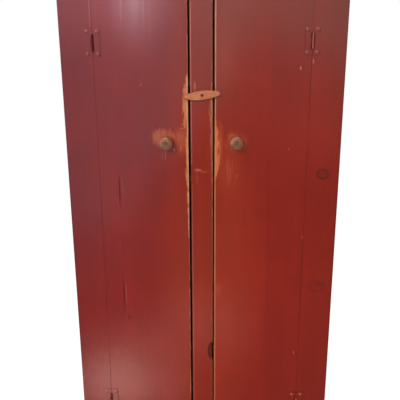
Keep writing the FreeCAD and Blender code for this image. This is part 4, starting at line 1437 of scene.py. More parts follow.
def never(point: Vector, normal: Vector) -> bool:
    """No face at all."""
    return False


def looks_back(point: Vector, normal: Vector) -> bool:
    """Whether a face looks to the back, as those of the front do inside the cupboard."""
    return normal.y > 0.7


def looks_forward(point: Vector, normal: Vector) -> bool:
    """Whether a face looks to the front, as those of the back do inside the cupboard."""
    return normal.y < -0.7


@dataclass
class Carcass:
    """Sides, top, bottom, shelves, cleats, back and cornice.

    Attributes:
        shelf_count: shelves above the bottom board.
        back_board_count: boards in the back.
        cleat_arris: rounding of the cleats.
        cleat_loops: steps that the cleats' length is divided into.
        swell: how far each back board has swollen into the joint beside it.
    """

    shelf_count: int = 4
    back_board_count: int = 5
    cleat_arris: float = 1.2 * MM
    cleat_loops: int = 12
    swell: float = 0.6 * MM

    def build(self) -> list[Piece]:
        """Builds every board of the carcass.

        Returns:
            The pieces.
        """
        made = [self._painted(f"side_{hand.word}", seed=10 + hand.value, from_node=True)
                for hand in Hand]
        made.append(self._painted("top_board", seed=14, arris=2.5 * MM))
        plain = ["bottom_board", "door_stop_top"]
        plain += [f"shelf_{n}" for n in range(1, self.shelf_count + 1)]
        made += [Board(node, "carcass", "bare_pine", INSIDE_PINE, INSIDE_PINE, never,
                       arris=1.2 * MM, seed=20 + n).build() for n, node in enumerate(plain)]
        made += [Board(f"back_board_{n}", "carcass", "bare_pine", BACK_PINE, INSIDE_PINE,
                       looks_forward, arris=1.0 * MM, seed=40 + n,
                       grow=(self.swell * (n > 1), self.swell * (n < self.back_board_count))
                       ).build() for n in range(1, self.back_board_count + 1)]
        made += [self._cleats(hand) for hand in Hand]
        made += [self._moulding(side) for side in ("front", "left", "right")]
        return made

    @staticmethod
    def _painted(node: str, **settings: object) -> Piece:
        """A board that is painted outside and bare inside."""
        return Board(node, "carcass", "frame_paint", CARCASS_PAINT, INSIDE_PINE, faces_in,
                     **settings).build()

    def _cleats(self, hand: Hand) -> Piece:
        """The strips under one end of every shelf.

        Args:
            hand: which end.

        Returns:
            The piece.
        """
        node = f"shelf_cleats_{hand.word}"
        low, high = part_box(node)
        shape = Shape.copy_of(node)
        shape.round_edges(self.cleat_arris, segments=2)
        shape.cut_into(Axis.Y, low, high, (high.y - low.y) / self.cleat_loops)
        shape.weather(0.3 * MM, 40 * MM, 60 + hand.value)
        piece = shape.become(f"{node}_wood", FINISHES.of(INSIDE_PINE))
        lay_grain(piece, Grain(Axis.Y, Axis.Z, Vector((low.x - 0.05, -20.0, -0.4))).read)
        keep_paint(piece)
        return settle(piece, "carcass", "bare_pine", node)

    @staticmethod
    def _moulding(side: str) -> Piece:
        """One length of the cove moulding.

        Args:
            side: "front", "left" or "right".

        Returns:
            The piece.
        """
        node = f"cornice_{side}"
        low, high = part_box(node)
        axis = Axis.X if side == "front" else Axis.Y
        shape = Shape.copy_of(node)
        shape.round_edges(0.8 * MM, segments=2, least_angle=35.0)
        shape.cut_into(axis, low, high, 40 * MM)
        shape.weather(0.25 * MM, 50 * MM, 70 + len(side))
        piece = shape.become(f"{node}_moulding", FINISHES.of(CARCASS_PAINT))
        pith = (-30.0, low.y - 0.06) if side == "front" else (low.x - 0.06, -30.0)
        lay_grain(piece, Grain(axis, Axis.Z, Vector((*pith, low.z + 0.01))).read)
        carry(piece, "arris", lambda point: min(max(point.z - low.z, 0.0),
                                                max(high.z - point.z, 0.0)))
        return settle(piece, "carcass", "frame_paint", node)


@dataclass
class FaceFrame:
    """Stiles, rails and the fixed mullion between the doors.

    Attributes:
        wane_middle: (X, Z) of the hollow where a knot has fallen out of the mullion's edge.
        wane_reach: (half width, half height) of that hollow.
        wane_through: how far through the board it goes.
        wane_rim: how wide its rim slopes.
        wane_side: how far from the edge it eats into it.
        wane_depth: its depth into the face.
        wane_bite: how far it eats into the edge.
        gap_fill: how far paint has built up on each stile beside its door.
    """

    wane_middle: tuple[float, float] = (30.5 * MM, 461 * MM)
    wane_reach: tuple[float, float] = (16.5 * MM, 34 * MM)
    wane_through: float = 16 * MM
    wane_rim: float = 3.5 * MM
    wane_side: float = 9 * MM
    wane_depth: float = 5.5 * MM
    wane_bite: float = 4.2 * MM
    gap_fill: float = 0.3 * MM

    def build(self) -> list[Piece]:
        """Builds the frame's five boards.

        Returns:
            The pieces.
        """
        made = []
        for number, node in enumerate(("stile_left", "stile_right", "top_rail", "base_rail")):
            low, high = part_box(node)
            sides, grow = {"stile_left": ((high.x,), (0.0, self.gap_fill)),
                           "stile_right": ((low.x,), (self.gap_fill, 0.0))
                           }.get(node, ((), (0.0, 0.0)))
            made.append(Board(node, "carcass", "frame_paint", FRAME_PAINT, INSIDE_PINE,
                              looks_back, seed=80 + number, arris=1.5 * MM, in_front=True,
                              sharp_sides=sides, grow=grow).build())
        made.append(self._mullion())
        return made

    def _mullion(self) -> Piece:
        """The mullion, with the hollow in its right edge.

        Returns:
            The piece.
        """
        low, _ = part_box("mullion")
        middle_x, middle_z = self.wane_middle
        reach_x, reach_z = self.wane_reach
        loops = {
            Axis.Z: tuple(middle_z + reach_z * n / 10 for n in range(-11, 12)),
            Axis.X: tuple(middle_x - reach_x * n / 7 for n in range(1, 9)),
            Axis.Y: tuple(low.y + step * MM for step in (3, 6, 10, 15)),
        }
        piece = Board("mullion", "carcass", "frame_paint", MULLION_PAINT, INSIDE_PINE,
                      looks_back, seed=86, arris=1.8 * MM, pitch=14 * MM, in_front=True,
                      extra_loops=loops).build()
        for vert in piece.data.vertices:
            point = vert.co
            along = (point.z - middle_z) / reach_z
            if abs(along) >= 1 or point.x < middle_x - reach_x:
                continue
            bowl = math.sqrt(1 - along * along)
            inside = clamped((point.x - (middle_x - reach_x * bowl)) / self.wane_rim)
            front = clamped((low.y + self.wane_through - point.y) / self.wane_through)
            edge = clamped((point.x - (middle_x - self.wane_side)) / self.wane_side)
            rough = 0.75 + 0.5 * noise.noise(point * 160)
            point.y += self.wane_depth * inside * front * rough
            point.x -= self.wane_bite * bowl * edge * front * rough
        return piece


# ------------------------------------------------------------------ doors


@dataclass(frozen=True)
class Gnaw:
    """More depth close to a free edge, where hands have worn it.

    Attributes:
        edge_x: the edge.
        seed: which pattern.
        depth: the deepest.
        reach: how far from the edge it goes.
        height: where hands take hold.
        spread: how far over and under that they reach.
    """

    edge_x: float
    seed: float
    depth: float = 1.1 * MM
    reach: float = 7 * MM
    height: float = 1.3
    spread: float = 0.16

    def __call__(self, point: Vector) -> float:
        """The depth at a point."""
        near = max(0.0, 1 - abs(point.x - self.edge_x) / self.reach)
        handled = math.exp(-((point.z - self.height) / self.spread) ** 2)
        bite = roll(Vector((self.seed, point.y * 40, point.z * 34)))
        return self.depth * near * near * bite * (0.35 + 1.3 * handled)


@dataclass(frozen=True)
class OpenJoint:
    """How far the face beside a joint lies back where the joint has opened.

    Attributes:
        seam: X of the joint.
        spans: (lowest, highest, depth) of each open part.
        half: how far it is open to each side.
    """

    seam: float
    spans: tuple[tuple[float, float, float], ...]
    half: float = 0.45 * MM

    def __call__(self, point: Vector) -> float:
        """The depth at a point."""
        if abs(point.x - self.seam) > self.half or point.y > (FACE + 1.5) * MM:
            return 0.0
        return max(depth * math.sqrt(max(0.0, 1 - abs(2 * point.z - low - high) / (high - low)))
                   for low, high, depth in self.spans)


@dataclass
class Door:
    """One plank door with its battens.

    Attributes:
        hand: which door.
        edge_wear: wear of its free edge.
        latch_marks: marks on the board beside the mullion.
        hinge_marks: marks on the board beside the hinges.
        open_parts: (lowest, highest, depth) of the parts where its boards' joint has opened.
        edge_wood: colour of the wood on the worn arris itself.
        worn_wood: colour of the worn wood behind the arris.
        gap_fill: how far paint has built up on the edge beside the hinges.
    """

    hand: Hand
    edge_wear: EdgeWear
    latch_marks: tuple[Mark, ...]
    hinge_marks: tuple[Mark, ...]
    open_parts: tuple[tuple[float, float, float], ...] = ()
    edge_wood: Colour = shade(194, 140, 102)
    worn_wood: Colour = shade(180, 104, 63)
    gap_fill: float = 0.25 * MM

    def build(self) -> list[Piece]:
        """Builds two boards and three battens.

        Returns:
            The pieces.
        """
        body = f"door_{self.hand.word}"
        latch_node, hinge_node = f"{body}_latch_board", f"{body}_hinge_board"
        outer = 0 if self.hand is Hand.LEFT else 1
        seam, hinge_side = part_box(latch_node)[outer].x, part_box(hinge_node)[outer].x
        grow = (self.gap_fill, 0.0) if self.hand is Hand.LEFT else (0.0, self.gap_fill)
        latch = BarnRed(f"{body}_latch_paint", self.latch_marks, (self.edge_wear,), rub=0.12,
                        tan=self.edge_wood, orange=self.worn_wood)
        hinge = BarnRed(f"{body}_hinge_paint", self.hinge_marks, rub=0.04)
        worn = Gnaw(self.edge_wear.x * MM, 3.0 * self.hand.value)
        split = OpenJoint(seam, self.open_parts) if self.open_parts else None
        made = [
            Board(latch_node, body, "door_paint", latch, INSIDE_PINE, looks_back, arris=2.0 * MM,
                  sharp_sides=(seam,), pitch=11 * MM, seed=100 + self.hand.value, in_front=True,
                  deeper=worn, sink=split).build(),
            Board(hinge_node, body, "door_paint", hinge, INSIDE_PINE, looks_back,
                  sharp_sides=(seam, hinge_side), pitch=16 * MM, seed=110 + self.hand.value,
                  in_front=True, grow=grow, sink=split).build(),
        ]
        for number, level in enumerate(("bottom", "middle", "top")):
            made.append(Board(f"{body}_batten_{level}", body, "bare_pine", INSIDE_PINE,
                              INSIDE_PINE, never, arris=2.0 * MM,
                              seed=120 + 5 * number + self.hand.value).build())
        return made


@dataclass
class Knob:
    """A turned knob, spun from its profile.

    Attributes:
        hand: which door's.
        profile: (radius, distance from the door), in millimetres, from the door to the recess.
        rim_radius: radius of its rim, in millimetres.
        steps: faces round it.
        dent: depth of its dents.
    """

    hand: Hand
    profile: Curve = (
        (0.0, 0.0), (13.4, 0.0), (14.0, 0.7), (13.3, 2.2), (11.6, 5.0), (10.2, 8.0),
        (9.5, 10.6), (9.6, 12.4), (10.6, 14.3), (14.0, 15.9), (17.6, 17.2), (20.3, 19.0),
        (21.6, 21.2), (22.0, 23.6), (21.6, 25.9), (20.7, 27.7), (19.2, 29.3), (18.3, 29.9),
        (17.7, 29.7), (17.0, 30.5), (14.2, 32.1), (11.2, 33.2), (8.4, 33.8), (6.3, 34.0),
        (5.5, 33.5), (5.4, 31.4), (2.9, 31.0))
    rim_radius: float = 18.3
    steps: int = 56
    dent: float = 0.5 * MM

    def build(self) -> Piece:
        """Spins the knob about its screw.

        Returns:
            The piece.
        """
        node = f"knob_{self.hand.word}"
        low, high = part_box(node)
        middle = Vector(((low.x + high.x) / 2, high.y, (low.z + high.z) / 2))
        points = [middle + Vector((r * MM, -out * MM, 0.0)) for r, out in self.profile]
        shape = Shape.turned(points, middle, self.steps).close()
        shape.bm.normal_update()
        start = Vector((4.0 * self.hand.value, 0, 0))
        for vert in shape.bm.verts:
            vert.co -= vert.normal * max(0.0, noise.noise(vert.co * 95 + start)) * self.dent
        piece = shape.become(f"{node}_turning", FINISHES.of(WeatheredTurning()))
        carry(piece, "radius", lambda point: math.hypot(point.x - middle.x, point.z - middle.z))
        carry(piece, "rim", lambda point: self._towards_light(point - middle))
        return settle(piece, f"door_{self.hand.word}", "knob_wood", node)

    def _towards_light(self, away: Vector) -> float:
        """Which side of the rim a point is on.

        Args:
            away: the point, from the knob's middle.

        Returns:
            1 on the upper left, towards the light, where old paint and a painted highlight go, and
            -1 on the lower right.
        """
        radius = math.hypot(away.x, away.z)
        if radius == 0.0:
            return 0.0
        side = (0.66 * away.z - 0.75 * away.x) / radius
        return side * min(radius / (self.rim_radius * MM), 1.0) ** 3


@dataclass
class TurnButton:
    """The whittled wooden bar that turns in front of both doors.

    Attributes:
        grid: size of the small faces that it is whittled from.
        tilt: degrees, its right tip up.
        whittle: depth of the knife's facets.
        fibre: depth of the fibres between them.
        pith: (across, through) of the tree's middle, from the button's own.
    """

    grid: float = 0.9 * MM
    tilt: float = 6.1
    whittle: float = 0.55 * MM
    fibre: float = 0.08 * MM
    pith: tuple[float, float] = (-11 * MM, -26 * MM)

    def build(self) -> Piece:
        """Whittles the button from the CAD node's shape.

        Returns:
            The piece.
        """
        low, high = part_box("turn_button")
        middle = Vector(((low.x + high.x) / 2, low.y, (low.z + high.z) / 2))
        shape = self._evened(Shape.copy_of("turn_button"))
        bmesh.ops.smooth_vert(shape.bm, verts=shape.bm.verts, factor=0.5, use_axis_x=True,
                              use_axis_y=True, use_axis_z=True)
        shape.bm.normal_update()
        for vert in shape.bm.verts:
            x, y, z = vert.co
            facet, fine = roll(Vector((x * 42, y * 90, z * 120))), roll(vert.co * 420)
            vert.co -= vert.normal * (self.whittle * facet + self.fibre * fine)
        piece = shape.become("turn_button_wood", FINISHES.of(ButtonWood()))
        back = Matrix.Rotation(math.radians(self.tilt), 3, "Y")

        def along_button(point: Vector) -> tuple[float, float, float]:
            """(across, through, along) of a point on the button."""
            local = back @ (point - middle)
            return local.z - self.pith[0], local.y - self.pith[1], local.x

        lay_grain(piece, along_button)
        carry(piece, "radius", lambda point: math.hypot(point.x - middle.x, point.z - middle.z))
        return settle(piece, "turn_button", "button_wood", "turn_button")

    def _evened(self, shape: Shape) -> Shape:
        """Remakes a shape of small even faces.

        Args:
            shape: any closed shape.

        Returns:
            The new shape.
        """
        bmesh.ops.triangulate(shape.bm, faces=shape.bm.faces)
        rough = shape.become("turn_button_rough")
        remesh = rough.modifiers.new("even_faces", "REMESH")
        remesh.mode = "VOXEL"
        remesh.voxel_size = self.grid
        depsgraph = bpy.context.evaluated_depsgraph_get()
        mesh = bpy.data.meshes.new_from_object(rough.evaluated_get(depsgraph))
        bpy.data.objects.remove(rough)
        made = Shape()
        made.bm.from_mesh(mesh)
        return made


# ------------------------------------------------------------------ hinges and fasteners


@dataclass
class Hinge:
    """One butt hinge on the face, painted over with the wood.

    Attributes:
        hand: which door's.
        level: "upper" or "lower".
        film: rounding that the paint gives to every edge.
        screw_from_pin: how far its screws stand from the pin, in millimetres.
        screw_from_middle: and from its middle, up and down.
        groove: half the barrel's length, in millimetres.
    """

    hand: Hand
    level: str
    film: float = 0.45 * MM
    screw_from_pin: float = 16.5
    screw_from_middle: float = 34.0
    groove: float = 26.5

    def build(self) -> list[Piece]:
        """Builds both leaves and the pin.

        Returns:
            The pieces.
        """
        stem = f"hinge_{self.hand.word}_{self.level}"
        low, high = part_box(f"{stem}_pin")
        shadows = self._shadows((low.x + high.x) / (2 * MM), (low.z + high.z) / (2 * MM))
        finish = BarnRed(f"{stem}_paint", marks=shadows, rub=0.0)
        bodies = {"stile_leaf": "carcass", "door_leaf": f"door_{self.hand.word}",
                  "pin": "carcass"}
        return [self._part(f"{stem}_{part}", body, finish) for part, body in bodies.items()]

    def _shadows(self, x: float, z: float) -> tuple[Mark, ...]:
        """Painted shadows in the grooves and under each screw head; painted highlights on heads and
        barrel.

        Args:
            x: of the pin's middle, in millimetres.
            z: of the pin's middle, in millimetres.

        Returns:
            The marks.
        """
        over = dict(ragged=0.15, y=-190.0, deep=45.0)
        slot = dict(is_straight=True, soft=0.35, **over)
        tall = self.groove
        screws = [(x + side * self.screw_from_pin, z + end * self.screw_from_middle, end)
                  for side in (-1, 1) for end in (-1, 1)]
        if self.hand is Hand.LEFT:
            # Painted shadows in the grooves beside the barrel.
            grooves = marks(DIRTY, (x - 0.4, z + 14, 2.6, tall - 15, 0, 1.0),
                            (x + 1.4, z - 9, 2.8, tall - 8, 1, 0.95), **slot)
        else:
            # A painted highlight on the barrel, and painted shadows in the grooves beside it.
            grooves = (
                *marks(CHALKY, (x - 0.6, z - 1, 1.9, tall, 0, 0.28), **slot),
                *marks(DIRTY,
                       (x - 6.4, z + 13, 2.4, 9, 0, 0.75), (x - 5.6, z - 13, 2.4, 7, 0, 0.75),
                       (x - 9, z, 3.0, tall, 0, 0.25), (x + 5.6, z - 2, 2.8, tall, 0, 0.70),
                       **slot))
        return (
            *FOOT_REFLECTION, *grooves,
            # Painted shadow below and right of each screw's head.
            *marks(DIRTY, *((at + 2.6, up - 3.4, 4.8, 4.2, 0, 0.85)
                                     for at, up, _ in screws), soft=0.5, **over),
            # Painted highlight above and left of each screw's head.
            *marks(CHALKY, *((at - 2.8, up + 3.0, 5.0, 4.2, 0, 0.26 + 0.06 * end)
                                      for at, up, end in screws), soft=0.6, **over))

    def _part(self, node: str, body: str, finish: BarnRed) -> Piece:
        """One part of the hinge, its edges softened by paint.

        Args:
            node: the CAD node.
            body: the body that it rides on.
            finish: its paint.

        Returns:
            The piece.
        """
        shape = Shape.copy_of(node).round_edges(self.film, segments=2, least_angle=40.0)
        piece = shape.become(f"{node}_painted", FINISHES.of(finish))
        weighted = piece.modifiers.new("even_shading", "WEIGHTED_NORMAL")
        weighted.keep_sharp = False
        keep_paint(piece)
        return settle(piece, body, "hinge_paint", node)


@dataclass(frozen=True)
class Screw:
    """A screw with a slotted head.

    Attributes:
        radius: of the head.
        rise: of the head's middle over its rim.
        slot_width: of the slot.
        slot_depth: of the slot.
        slot_chamfer: how far the slot's sides slope.
        skirt: how far the head reaches down behind its rim.
        rings: faces from rim to middle.
        steps: faces round it.
    """

    radius: float
    rise: float
    slot_width: float = 0.9 * MM
    slot_depth: float = 0.7 * MM
    slot_chamfer: float = 0.06 * MM
    skirt: float = 1.2 * MM
    rings: int = 7
    steps: int = 28

    def add_to(self, shape: Shape, seat: Vector, turn: float) -> None:
        """Adds a head to a shape.

        Args:
            shape: where it goes.
            seat: the middle of the head's rim.
            turn: degrees, of its slot.
        """
        angles = [0.5 * math.pi * n / self.rings for n in range(self.rings + 1)]
        dome = [Vector((self.radius * math.cos(angle), -(self.rise * math.sin(angle)), 0.0))
                for angle in angles]
        head = Shape.turned([Vector((self.radius, self.skirt, 0.0)), *dome], Vector(),
                            self.steps)
        half = self.slot_width / 2
        outer = half + self.slot_chamfer
        head.cut_across(Axis.X, (-outer, -half, half, outer))
        for vert in head.bm.verts:
            if abs(vert.co.x) < half + 0.01 * MM and vert.co.y < 0:
                vert.co.y = max(vert.co.y, -self.rise + self.slot_depth)
        head.close()
        matrix = Matrix.Translation(seat) @ Matrix.Rotation(math.radians(turn), 4, "Y")
        bmesh.ops.transform(head.bm, matrix=matrix, verts=head.bm.verts)
        mesh = bpy.data.meshes.new("screw_head")
        head.bm.to_mesh(mesh)
        head.bm.free()
        shape.bm.from_mesh(mesh)
        bpy.data.meshes.remove(mesh)


SCREW_STEEL = DarkMetal("dark_screws", shade(72, 24, 14), shade(98, 34, 18), 0.55, 0.08, 0.0)
KNOB_SCREW = DarkMetal("brown_screws", shade(96, 64, 44), shade(118, 82, 56), 0.5, 0.08, 0.0)
CUT_IRON = DarkMetal("cut_iron", shade(50, 42, 38), shade(96, 56, 38), 0.5)
# Paler paint on the hinge screws' heads: a painted highlight on the domes.
SCREW_PAINT = BarnRed("screw_paint", marks=FOOT_REFLECTION, rub=0.0, full=shade(166, 88, 80),
                      deep=shade(156, 78, 70))
PAINTED_IRON = BarnRed("painted_iron", marks=FOOT_REFLECTION, rub=0.0, full=shade(122, 24, 12),
                       deep=shade(114, 20, 10))


@dataclass
class Fasteners:
    """Screws in the hinges, knobs and button, and cut nails in the wood.

    Attributes:
        hinge_screw: a round head on the hinges.
        knob_screw: a round head in the knobs' recesses.
        button_screw: the flat head in the button.
        button_turn: degrees, of its slot.
        nail_edge: how far the nails' edges are hammered soft.
    """

    hinge_screw: Screw = Screw(4.2 * MM, 1.6 * MM, slot_depth=0.5 * MM)
    knob_screw: Screw = Screw(5.2 * MM, 1.4 * MM, slot_width=1.1 * MM)
    button_screw: Screw = Screw(4.4 * MM, 0.35 * MM, slot_width=1.1 * MM, slot_depth=0.9 * MM)
    button_turn: float = 70.0
    nail_edge: float = 0.35 * MM

    def build(self) -> list[Piece]:
        """Builds the screws and dresses the nails.

        Returns:
            The pieces.
        """
        rng = random.Random(5)
        made = [self._hinge_screws("stiles", "carcass", rng)]
        for hand in Hand:
            body = f"door_{hand.word}"
            made.append(self._hinge_screws(body, body, rng))
            made.append(self._one_screw(f"knob_screw_{hand.word}", body, KNOB_SCREW,
                                        self.knob_screw, rng.uniform(-60, 60)))
        made.append(self._one_screw("turn_button_screw", "carcass", SCREW_STEEL,
                                    self.button_screw, self.button_turn))
        made += [self._nails(node, CUT_IRON)
                 for node in ("nails_door_left", "nails_door_right", "nails_carcass")]
        made += [self._nails(node, PAINTED_IRON) for node in ("nails_face_frame", "nails_cornice")]
        return made

    def _hinge_screws(self, where: str, body: str, rng: random.Random) -> Piece:
        """The painted round heads of one group of hinge screws.

        Args:
            where: what their leaves are on.
            body: the body that they ride on.
            rng: turns their slots.

        Returns:
            The piece.
        """
        node = f"hinge_screws_{where}"
        low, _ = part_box(node)
        shape = Shape()
        for middle in self._islands(node):
            seat = Vector((middle.x, low.y + self.hinge_screw.rise, middle.z))
            self.hinge_screw.add_to(shape, seat, rng.uniform(-80, 80))
        piece = shape.become(f"{node}_heads", FINISHES.of(SCREW_PAINT))
        keep_paint(piece)
        return settle(piece, body, "hinge_paint", node)

    @staticmethod
    def _one_screw(node: str, body: str, finish: DarkMetal, screw: Screw, turn: float) -> Piece:
        """One dark screw in its place.

        Args:
            node: the CAD node.
            body: the body that it rides on.
            finish: its metal.
            screw: its head.
            turn: degrees, of its slot.

        Returns:
            The piece.
        """
        low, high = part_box(node)
        shape = Shape()
        seat = Vector(((low.x + high.x) / 2, low.y + screw.rise, (low.z + high.z) / 2))
        screw.add_to(shape, seat, turn)
        piece = shape.become(f"{node}_head", FINISHES.of(finish))
        return settle(piece, body, "dark_screws", node)

    @staticmethod
    def _islands(node: str) -> list[Vector]:
        """Finds the separate solids of a CAD node.

        Args:
            node: the CAD node.

        Returns:
            The middle of each, from the bottom up.
        """
        shape = Shape.copy_of(node)
        left = set(shape.bm.verts)
        middles = []
        while left:
            todo, island = [left.pop()], []
            while todo:
                vert = todo.pop()
                island.append(vert.co.copy())
                for edge in vert.link_edges:
                    other = edge.other_vert(vert)
                    if other in left:
                        left.remove(other)
                        todo.append(other)
            low = Vector([min(p[i] for p in island) for i in range(3)])
            high = Vector([max(p[i] for p in island) for i in range(3)])
            middles.append((low + high) / 2)
        shape.bm.free()
        return sorted(middles, key=lambda p: (round(p.z, 4), round(p.x, 4)))

    def _nails(self, node: str, finish: Finish) -> Piece:
        """Dresses a CAD node of nails, its heads' edges hammered soft.

        Args:
            node: the CAD node.
            finish: its metal or its paint.

        Returns:
            The node itself.
        """
        piece = frame["nodes"][node]
        weld = piece.modifiers.new("one_skin", "WELD")
        weld.merge_threshold = 0.01 * MM
        soften = piece.modifiers.new("soft_edges", "BEVEL")
        soften.width = self.nail_edge
        soften.segments = 2
        soften.limit_method = "ANGLE"
        soften.angle_limit = math.radians(50)
        piece.data.materials.clear()
        piece.data.materials.append(FINISHES.of(finish))
        return piece


# ------------------------------------------------------------------ studio


@dataclass(frozen=True)
class Glow:
    """A bright patch of the room behind the viewer, an ellipsoid in millimetres.

    Attributes:
        x: its middle.
        z: its middle.
        wide: half its width.
        tall: half its height.
        strength: how much light it adds in its middle.
        y: its middle, on the wall.
        deep: half its depth.
        turn: degrees that it leans.
        is_straight: whether its sides are straight.
    """

    x: float
    z: float
    wide: float
    tall: float
    strength: float
    y: float = -3400
    deep: float = 900
    turn: float = 0.0
    is_straight: bool = False


@dataclass(frozen=True)
class Lamp:
    """A soft rectangular lamp that only lights.

    Attributes:
        name: the lamp's name.
        place: where it hangs.
        aim: what it points at.
        size: width and height.
        power: in watts.
        colour: red, green and blue.
    """

    name: str
    place: tuple[float, float, float]
    aim: tuple[float, float, float]
    size: tuple[float, float]
    power: float
    colour: tuple[float, float, float] = (1.0, 1.0, 1.0)

    def hang(self) -> None:
        """Puts the lamp in the scene."""
        light = bpy.data.lights.new(self.name, "AREA")
        light.shape = "RECTANGLE"
        light.size, light.size_y = self.size
        light.energy = self.power
        light.color = self.colour
        lamp = bpy.data.objects.new(self.name, light)
        lamp.location = self.place
        towards = Vector(self.aim) - Vector(self.place)
        lamp.rotation_euler = towards.to_track_quat("-Z", "Y").to_euler()
        lamp.visible_camera = False
        lamp.visible_glossy = False
        bpy.context.scene.collection.objects.link(lamp)


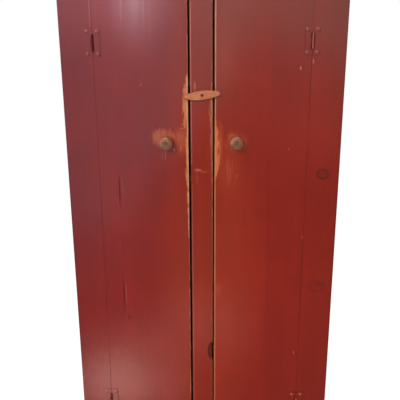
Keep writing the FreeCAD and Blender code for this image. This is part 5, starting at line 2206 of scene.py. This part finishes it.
@dataclass
class Studio:
    """Floor, white surroundings, soft lamps and the camera.

    Attributes:
        eye: the camera's place.
        pitch: degrees that it looks down.
        roll: degrees that it leans.
        lens: focal length over a 36 mm frame.
        world_light: strength of the surroundings' light, which show at 1.
        floor_reach: half the floor's width.
        floor_shine: how bright the floor shows by itself.
        floor_even: how much of that it shows, the rest being lit.
        screen_y: where the wall of the room behind the viewer stands.
        screen_half: half the width and height of that wall and its ground.
        lamps: the lamps.
        plain_wall: (height, brightness) up that wall's plain right part.
        window_wall: the same up its left part, beside the window.
        brightest: no part of that wall is brighter without a glow.
        window_edge: (height, X) of the border between the two parts.
        glows: bright patches on that wall and its ground.
        warm: tint of its right part.
        cool: tint of its left part.
    """

    eye: tuple[float, float, float] = (-0.0134, -1.52685, 1.298)
    pitch: float = 11.324
    roll: float = -0.291
    lens: float = 36.0
    world_light: float = 0.42
    floor_reach: float = 14.0
    floor_shine: float = 1.10
    floor_even: float = 0.86
    screen_y: float = -3.4
    screen_half: float = 2.4
    lamps: tuple[Lamp, ...] = (
        Lamp("key", (-2.0, -3.4, 2.9), (0.0, -0.186, 0.8), (1.2, 1.2), 104.5, (0.98, 0.99, 1.0)),
        Lamp("fill", (1.5, -4.0, 1.2), (0.1, -0.186, 0.8), (1.8, 1.8), 18.0, (1.0, 0.98, 0.96)),
        Lamp("side_left", (-2.7, 1.3, 1.0), (-0.3, 0.0, 0.85), (1.2, 1.8), 32.0),
        Lamp("side_right", (2.7, 1.3, 1.0), (0.3, 0.0, 0.85), (1.2, 1.8), 32.0),
    )
    plain_wall: Curve = (
        (0.0, 1.1), (0.5, 1.0), (0.8, 1.3), (1.12, 1.9), (1.41, 2.2), (1.65, 2.6),
        (1.88, 3.1), (2.09, 4.5), (2.28, 6.2), (2.45, 6.7))
    window_wall: Curve = (
        (0.0, 4.4), (0.5, 4.9), (0.8, 4.9), (1.12, 5.1), (1.41, 5.6), (1.65, 5.8),
        (1.88, 6.8), (2.09, 8.0), (2.28, 8.6), (2.45, 8.9))
    brightest: float = 9.0
    window_edge: Curve = (
        (0.0, -0.82), (0.18, -0.68), (0.49, -0.52), (0.8, -0.44), (1.12, -0.30), (1.41, -0.04),
        (1.65, 0.30), (1.88, 0.40), (2.1, 0.50), (2.45, 0.62))
    glows: tuple[Glow, ...] = (
        Glow(-695, 2660, 245, 680, 51.5),
        Glow(-285, 2440, 210, 520, -4.8),
        Glow(-960, 2480, 170, 460, -3.4),
        Glow(-1320, 2500, 350, 600, 4.7),
        Glow(1135, 2260, 280, 280, 1.5),
        Glow(590, 2070, 260, 260, -0.9),
        Glow(-480, 1100, 420, 520, 1.5),
        Glow(-20, 2330, 420, 480, 1.0),
        Glow(-560, 0, 700, 900, 2.2, -440, 640),
        Glow(-50, 0, 560, 900, 2.9, -1300, 700),
        Glow(-1250, 0, 1200, 900, 0.8, -2700, 1500),
    )
    warm: Colour = (1.0, 0.97, 0.86, 1.0)
    cool: Colour = (0.84, 0.93, 1.14, 1.0)

    def build(self) -> None:
        """Sets up everything round the cupboard."""
        self._surroundings()
        self._floor()
        for lamp in self.lamps:
            lamp.hang()
        self._screen()
        self._camera()

    def _surroundings(self) -> None:
        """A white world that gives its light at a lower strength than it shows."""
        world = bpy.data.worlds.new("white_room")
        bpy.context.scene.world = world
        graph = Graph(world)
        level = graph.add("MapRange", {"Value": graph.seen(), "To Min": self.world_light,
                                       "To Max": 1.0})
        graph.close(graph.add("Background", {"Color": WHITE, "Strength": level.outputs[0]}))

    def _floor(self) -> None:
        """A pale floor that keeps a faint shadow."""
        shape = Shape()
        bmesh.ops.create_grid(shape.bm, x_segments=2, y_segments=2, size=self.floor_reach,
                              matrix=Matrix.Translation((0, 0, -0.3 * MM)))
        graph = Graph.material("pale_floor")
        matt = graph.add("BsdfDiffuse", {"Color": WHITE})
        glow = graph.add("Emission", {"Strength": self.floor_shine})
        even = graph.times(graph.seen(), self.floor_even)
        blend = graph.add("MixShader", {0: even, 1: matt.outputs[0], 2: glow.outputs[0]})
        shape.become("floor", graph.close(blend))

    def _screen(self) -> None:
        """The room behind the viewer and its ground, which only the paint's gloss sees.

        It is window-bright on the left and under the ceiling, and plain white on the right.
        """
        shape = Shape()
        wall = Matrix.Translation((0, self.screen_y, self.screen_half)) @ Matrix.Rotation(
            math.radians(-90), 4, "X")
        ground = Matrix.Translation((0, self.screen_y / 2 - 0.25, MM)) @ Matrix.Diagonal(
            (1.0, 0.6, 1.0, 1.0))
        for matrix in (wall, ground):
            bmesh.ops.create_grid(shape.bm, x_segments=2, y_segments=2, size=self.screen_half,
                                  matrix=matrix)
        graph = Graph.material("room_behind")
        place = graph.place()
        across, _, up = graph.parts(place)
        ceiling = graph.plus(up, graph.math("SUBTRACT", across, 1.15), 0.32)
        plain, bright = (graph.profile(ceiling, wall, self.brightest)
                         for wall in (self.plain_wall, self.window_wall))
        edge = graph.profile(up, [(z, x / 2 + 0.5) for z, x in self.window_edge])
        edge = graph.math("SUBTRACT", graph.times(edge, 2.0), 1.0)
        beyond = graph.times(graph.smooth(graph.math("SUBTRACT", across, edge), 0.12, -0.14),
                             graph.smooth(up, -0.05, 0.2))
        level = graph.smooth(beyond, 0.0, 1.0, plain, bright)
        level = graph.plus(level, graph.times(graph.smooth(across, 0.1, -0.8, 0.0, 0.5),
                                              graph.smooth(up, 0.1, 0.0)))
        for glow in self.glows:
            level = graph.plus(level, graph.smooth(graph.spot(place, glow), 1.0, 0.0, 0.0,
                                                   glow.strength))
        tint = graph.mix(graph.smooth(across, 0.1, -0.7), self.warm, self.cool)
        light = graph.add("Emission", {"Color": tint, "Strength": level})
        screen = shape.become("room_behind", graph.close(light))
        screen.visible_camera = False
        screen.visible_diffuse = False
        screen.visible_transmission = False
        screen.visible_shadow = False

    def _camera(self) -> None:
        """The camera in front of the doors, looking a little down."""
        pitch, lean = math.radians(self.pitch), math.radians(self.roll)
        ahead = Vector((0, math.cos(pitch), -math.sin(pitch)))
        right = Vector((1, 0, 0))
        up = right.cross(ahead)
        leaned_right = right * math.cos(lean) + up * math.sin(lean)
        leaned_up = up * math.cos(lean) - right * math.sin(lean)
        lens = bpy.data.cameras.new("view")
        lens.lens = self.lens
        lens.sensor_width = 36.0
        camera = bpy.data.objects.new("view", lens)
        turn = Matrix((leaned_right, leaned_up, -ahead)).transposed()
        camera.matrix_world = Matrix.Translation(self.eye) @ turn.to_4x4()
        bpy.context.scene.collection.objects.link(camera)
        bpy.context.scene.camera = camera


def main() -> None:
    """Builds the cupboard's sub-assemblies in order and reports each piece."""
    logging.basicConfig(level=logging.INFO, format="%(message)s")
    bpy.context.scene.view_settings.view_transform = "Standard"
    Studio().build()
    parts = [
        Carcass(), FaceFrame(),
        Door(Hand.LEFT, LEFT_DOOR_EDGE, LEFT_LATCH_MARKS, LEFT_HINGE_MARKS,
             open_parts=((0.615, 0.745, 0.0040), (1.025, 1.105, 0.0012))),
        Door(Hand.RIGHT, RIGHT_DOOR_EDGE, RIGHT_LATCH_MARKS, RIGHT_HINGE_MARKS,
             edge_wood=shade(168, 101, 66), worn_wood=shade(183, 91, 45)),
        Knob(Hand.LEFT), Knob(Hand.RIGHT), TurnButton(),
        *(Hinge(hand, level) for hand in Hand for level in ("upper", "lower")),
        Fasteners(),
    ]
    for part in parts:
        built = part.build()
        for piece in built if isinstance(built, list) else [built]:
            log.info("%s: %d faces, on %s", piece.name, len(piece.data.polygons),
                     piece["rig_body"])


if __name__ == "__main__":
    main()
